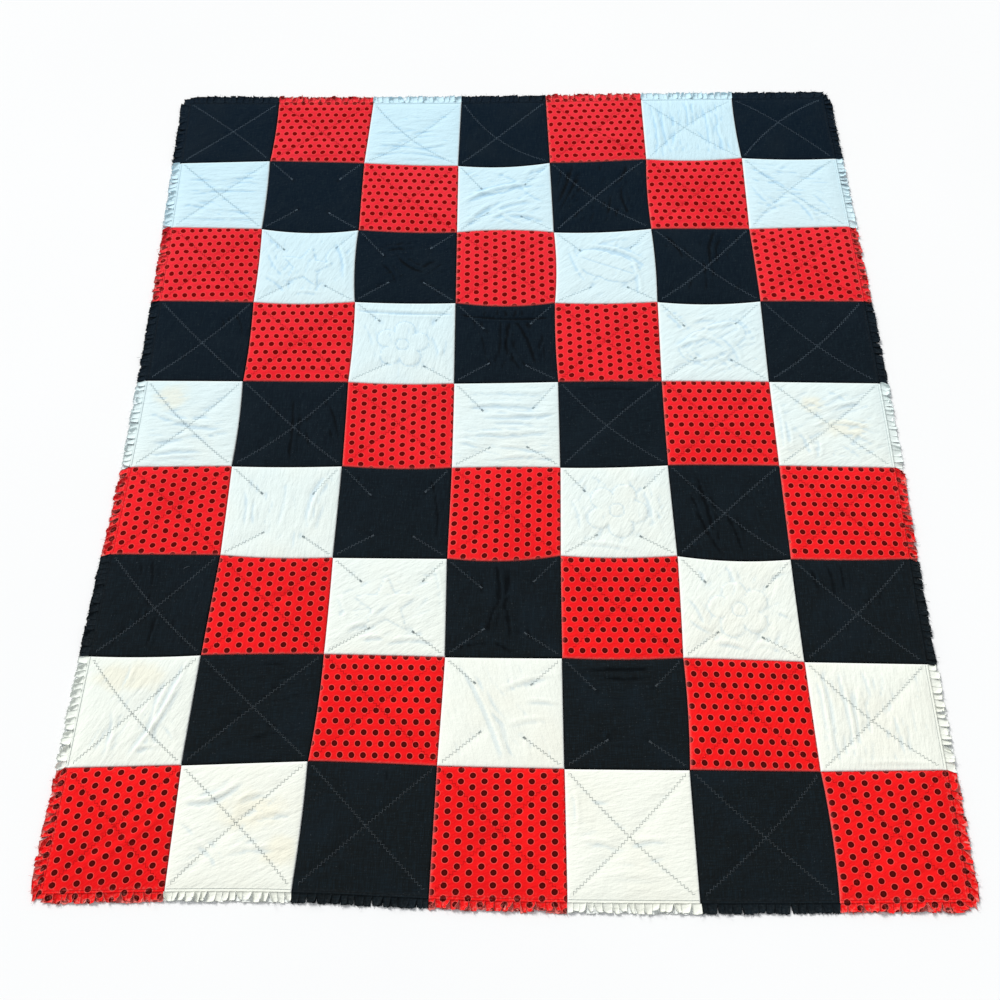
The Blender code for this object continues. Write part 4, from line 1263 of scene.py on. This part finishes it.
    yarns = []
    for _ in range(YARNS):
        layer = rng.integers(0, 2, tabs)[:, None]
        column_of_tab = rng.integers(0, TAB_COLUMNS + 1, tabs)
        pick = np.arange(tabs)
        start = np.where(layer == 0, ends[0][0][pick, column_of_tab], ends[1][0][pick, column_of_tab])
        way = np.where(layer == 0, ends[0][1][pick, column_of_tab], ends[1][1][pick, column_of_tab])
        way = way / np.linalg.norm(way, axis=1, keepdims=True) + rng.normal(0, 0.40, (tabs, 3))
        way /= np.linalg.norm(way, axis=1, keepdims=True)
        curve = rng.normal(0, 0.3, (tabs, 3))
        yarn_length = rng.gamma(2.0, 0.0009, tabs).clip(0.0008, 0.0050)[:, None, None]
        share = np.array((-0.15, 0.35, 0.7, 1.0))[:, None]
        path = start[:, None] + yarn_length * (way[:, None] * share + curve[:, None] * share ** 2)
        path[..., 2] = np.clip(path[..., 2], YARN_RADIUS + 0.0002, YARN_TOP)
        yarns.append(path)
    yarn_points, yarn_faces = tubes(np.concatenate(yarns), YARN_RADIUS, 3)
    base = sum(len(part) for part in points)
    faces += [[base + corner for corner in face] for face in yarn_faces]
    points = np.concatenate((*points, yarn_points))
    weave = np.concatenate((*weave, yarn_points[:, :2]))
    reverse = np.concatenate((*reverse, np.full(len(yarn_points), 0.8)))
    wear = np.concatenate((*wear, np.ones(len(yarn_points))))
    edge = add_piece(
        f"frayed_{side}_{'c' if along_x else 'r'}{index + 1}", points, faces, cottons[cloth],
        {"weave": weave, "ripple": points[:, :2]}, {"reverse": reverse, "wear": wear},
    )
    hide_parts(node)
    return row, column, edge


frayed = {place: [] for place in patches}
for frayed_side in FRAYED_SIDES:
    for place_along in range(COLUMNS if frayed_side in ("head", "foot") else ROWS):
        edge_row, edge_column, edge_piece = build_frayed_edge(frayed_side, place_along)
        frayed[edge_row, edge_column].append(edge_piece)

# The floor: one wide, plain, pale plane that the throw lies on. It is the setting and no part of the throw.
bpy.ops.mesh.primitive_plane_add(size=14, location=(0, 0, 0))
floor = bpy.context.object
floor.name = "floor"
floor_material, floor_shader, s = start_cloth("pale_floor", 0.85, 0.2)
floor_place = s.node("ShaderNodeTexCoord", None, None, 3)
floor_tone = s.noise(floor_place, 1.5, 2.0).mix((0.90, 0.90, 0.90, 1), (0.93, 0.93, 0.93, 1))
s.tree.links.new(floor_tone.output, floor_shader.inputs["Base Color"])
floor.data.materials.append(floor_material)


def cut_size(row, column):
    """Width and length that a patch was cut to, in whole millimetres: the mean distance between its left
    and right sides, and between its head and foot sides, as it lies flat with its border margin."""
    lines_u, lines_v, _ = faces_of_cloth[row, column]
    v, u = np.meshgrid(lines_v, lines_u, indexing="ij")
    x, y = on_cloth(column + u, row + v)
    width = np.hypot(x[:, -1] - x[:, 0], y[:, -1] - y[:, 0]).mean()
    length = np.hypot(x[-1] - x[0], y[-1] - y[0]).mean()
    return round(float(width), 3), round(float(length), 3)


for place, patch in patches.items():
    cut_size(*place)

# The light: one soft, faintly warm sun from beyond the head's left corner, and cool, even light from all
# round.
KEY_HEIGHT = 42                   # degrees above the floor
KEY_FROM = 132                    # degrees anticlockwise from +X
key = bpy.data.objects.new("key", bpy.data.lights.new("key", "SUN"))
key.data.energy = 2.7
key.data.angle = math.radians(22)
key.data.color = (1.0, 0.99, 0.97)
key.rotation_euler = (math.radians(90 - KEY_HEIGHT), 0, math.radians(KEY_FROM + 90))
bpy.context.scene.collection.objects.link(key)
world = bpy.data.worlds.new("studio")
world.use_nodes = True
world.node_tree.nodes["Background"].inputs["Color"].default_value = (0.94, 0.97, 1.0, 1)
world.node_tree.nodes["Background"].inputs["Strength"].default_value = 0.52
bpy.context.scene.world = world

# The camera stands at the throw's foot and looks down on it, as in the photograph.
CAMERA_PLACE = (0.0148, -1.0438, 1.6297)   # above the even cloth's middle
CLOTH_FACE = 0.0050
CAMERA_TURN = 1.35                # degrees, as the next two
CAMERA_TILT = 28.82
CAMERA_ROLL = -0.99
camera = bpy.data.objects.new("camera", bpy.data.cameras.new("camera"))
camera.data.sensor_width = 36
camera.data.lens = 42.12
camera.matrix_world = (
    Matrix.Translation((CAMERA_PLACE[0] + slide_x, CAMERA_PLACE[1] + slide_y, CAMERA_PLACE[2] + CLOTH_FACE))
    @ Matrix.Rotation(math.radians(CAMERA_TURN), 4, "Z")
    @ Matrix.Rotation(math.radians(CAMERA_TILT), 4, "X")
    @ Matrix.Rotation(math.radians(CAMERA_ROLL), 4, "Z")
)
bpy.context.scene.collection.objects.link(camera)
bpy.context.scene.camera = camera
bpy.context.scene.view_settings.view_transform = "Standard"
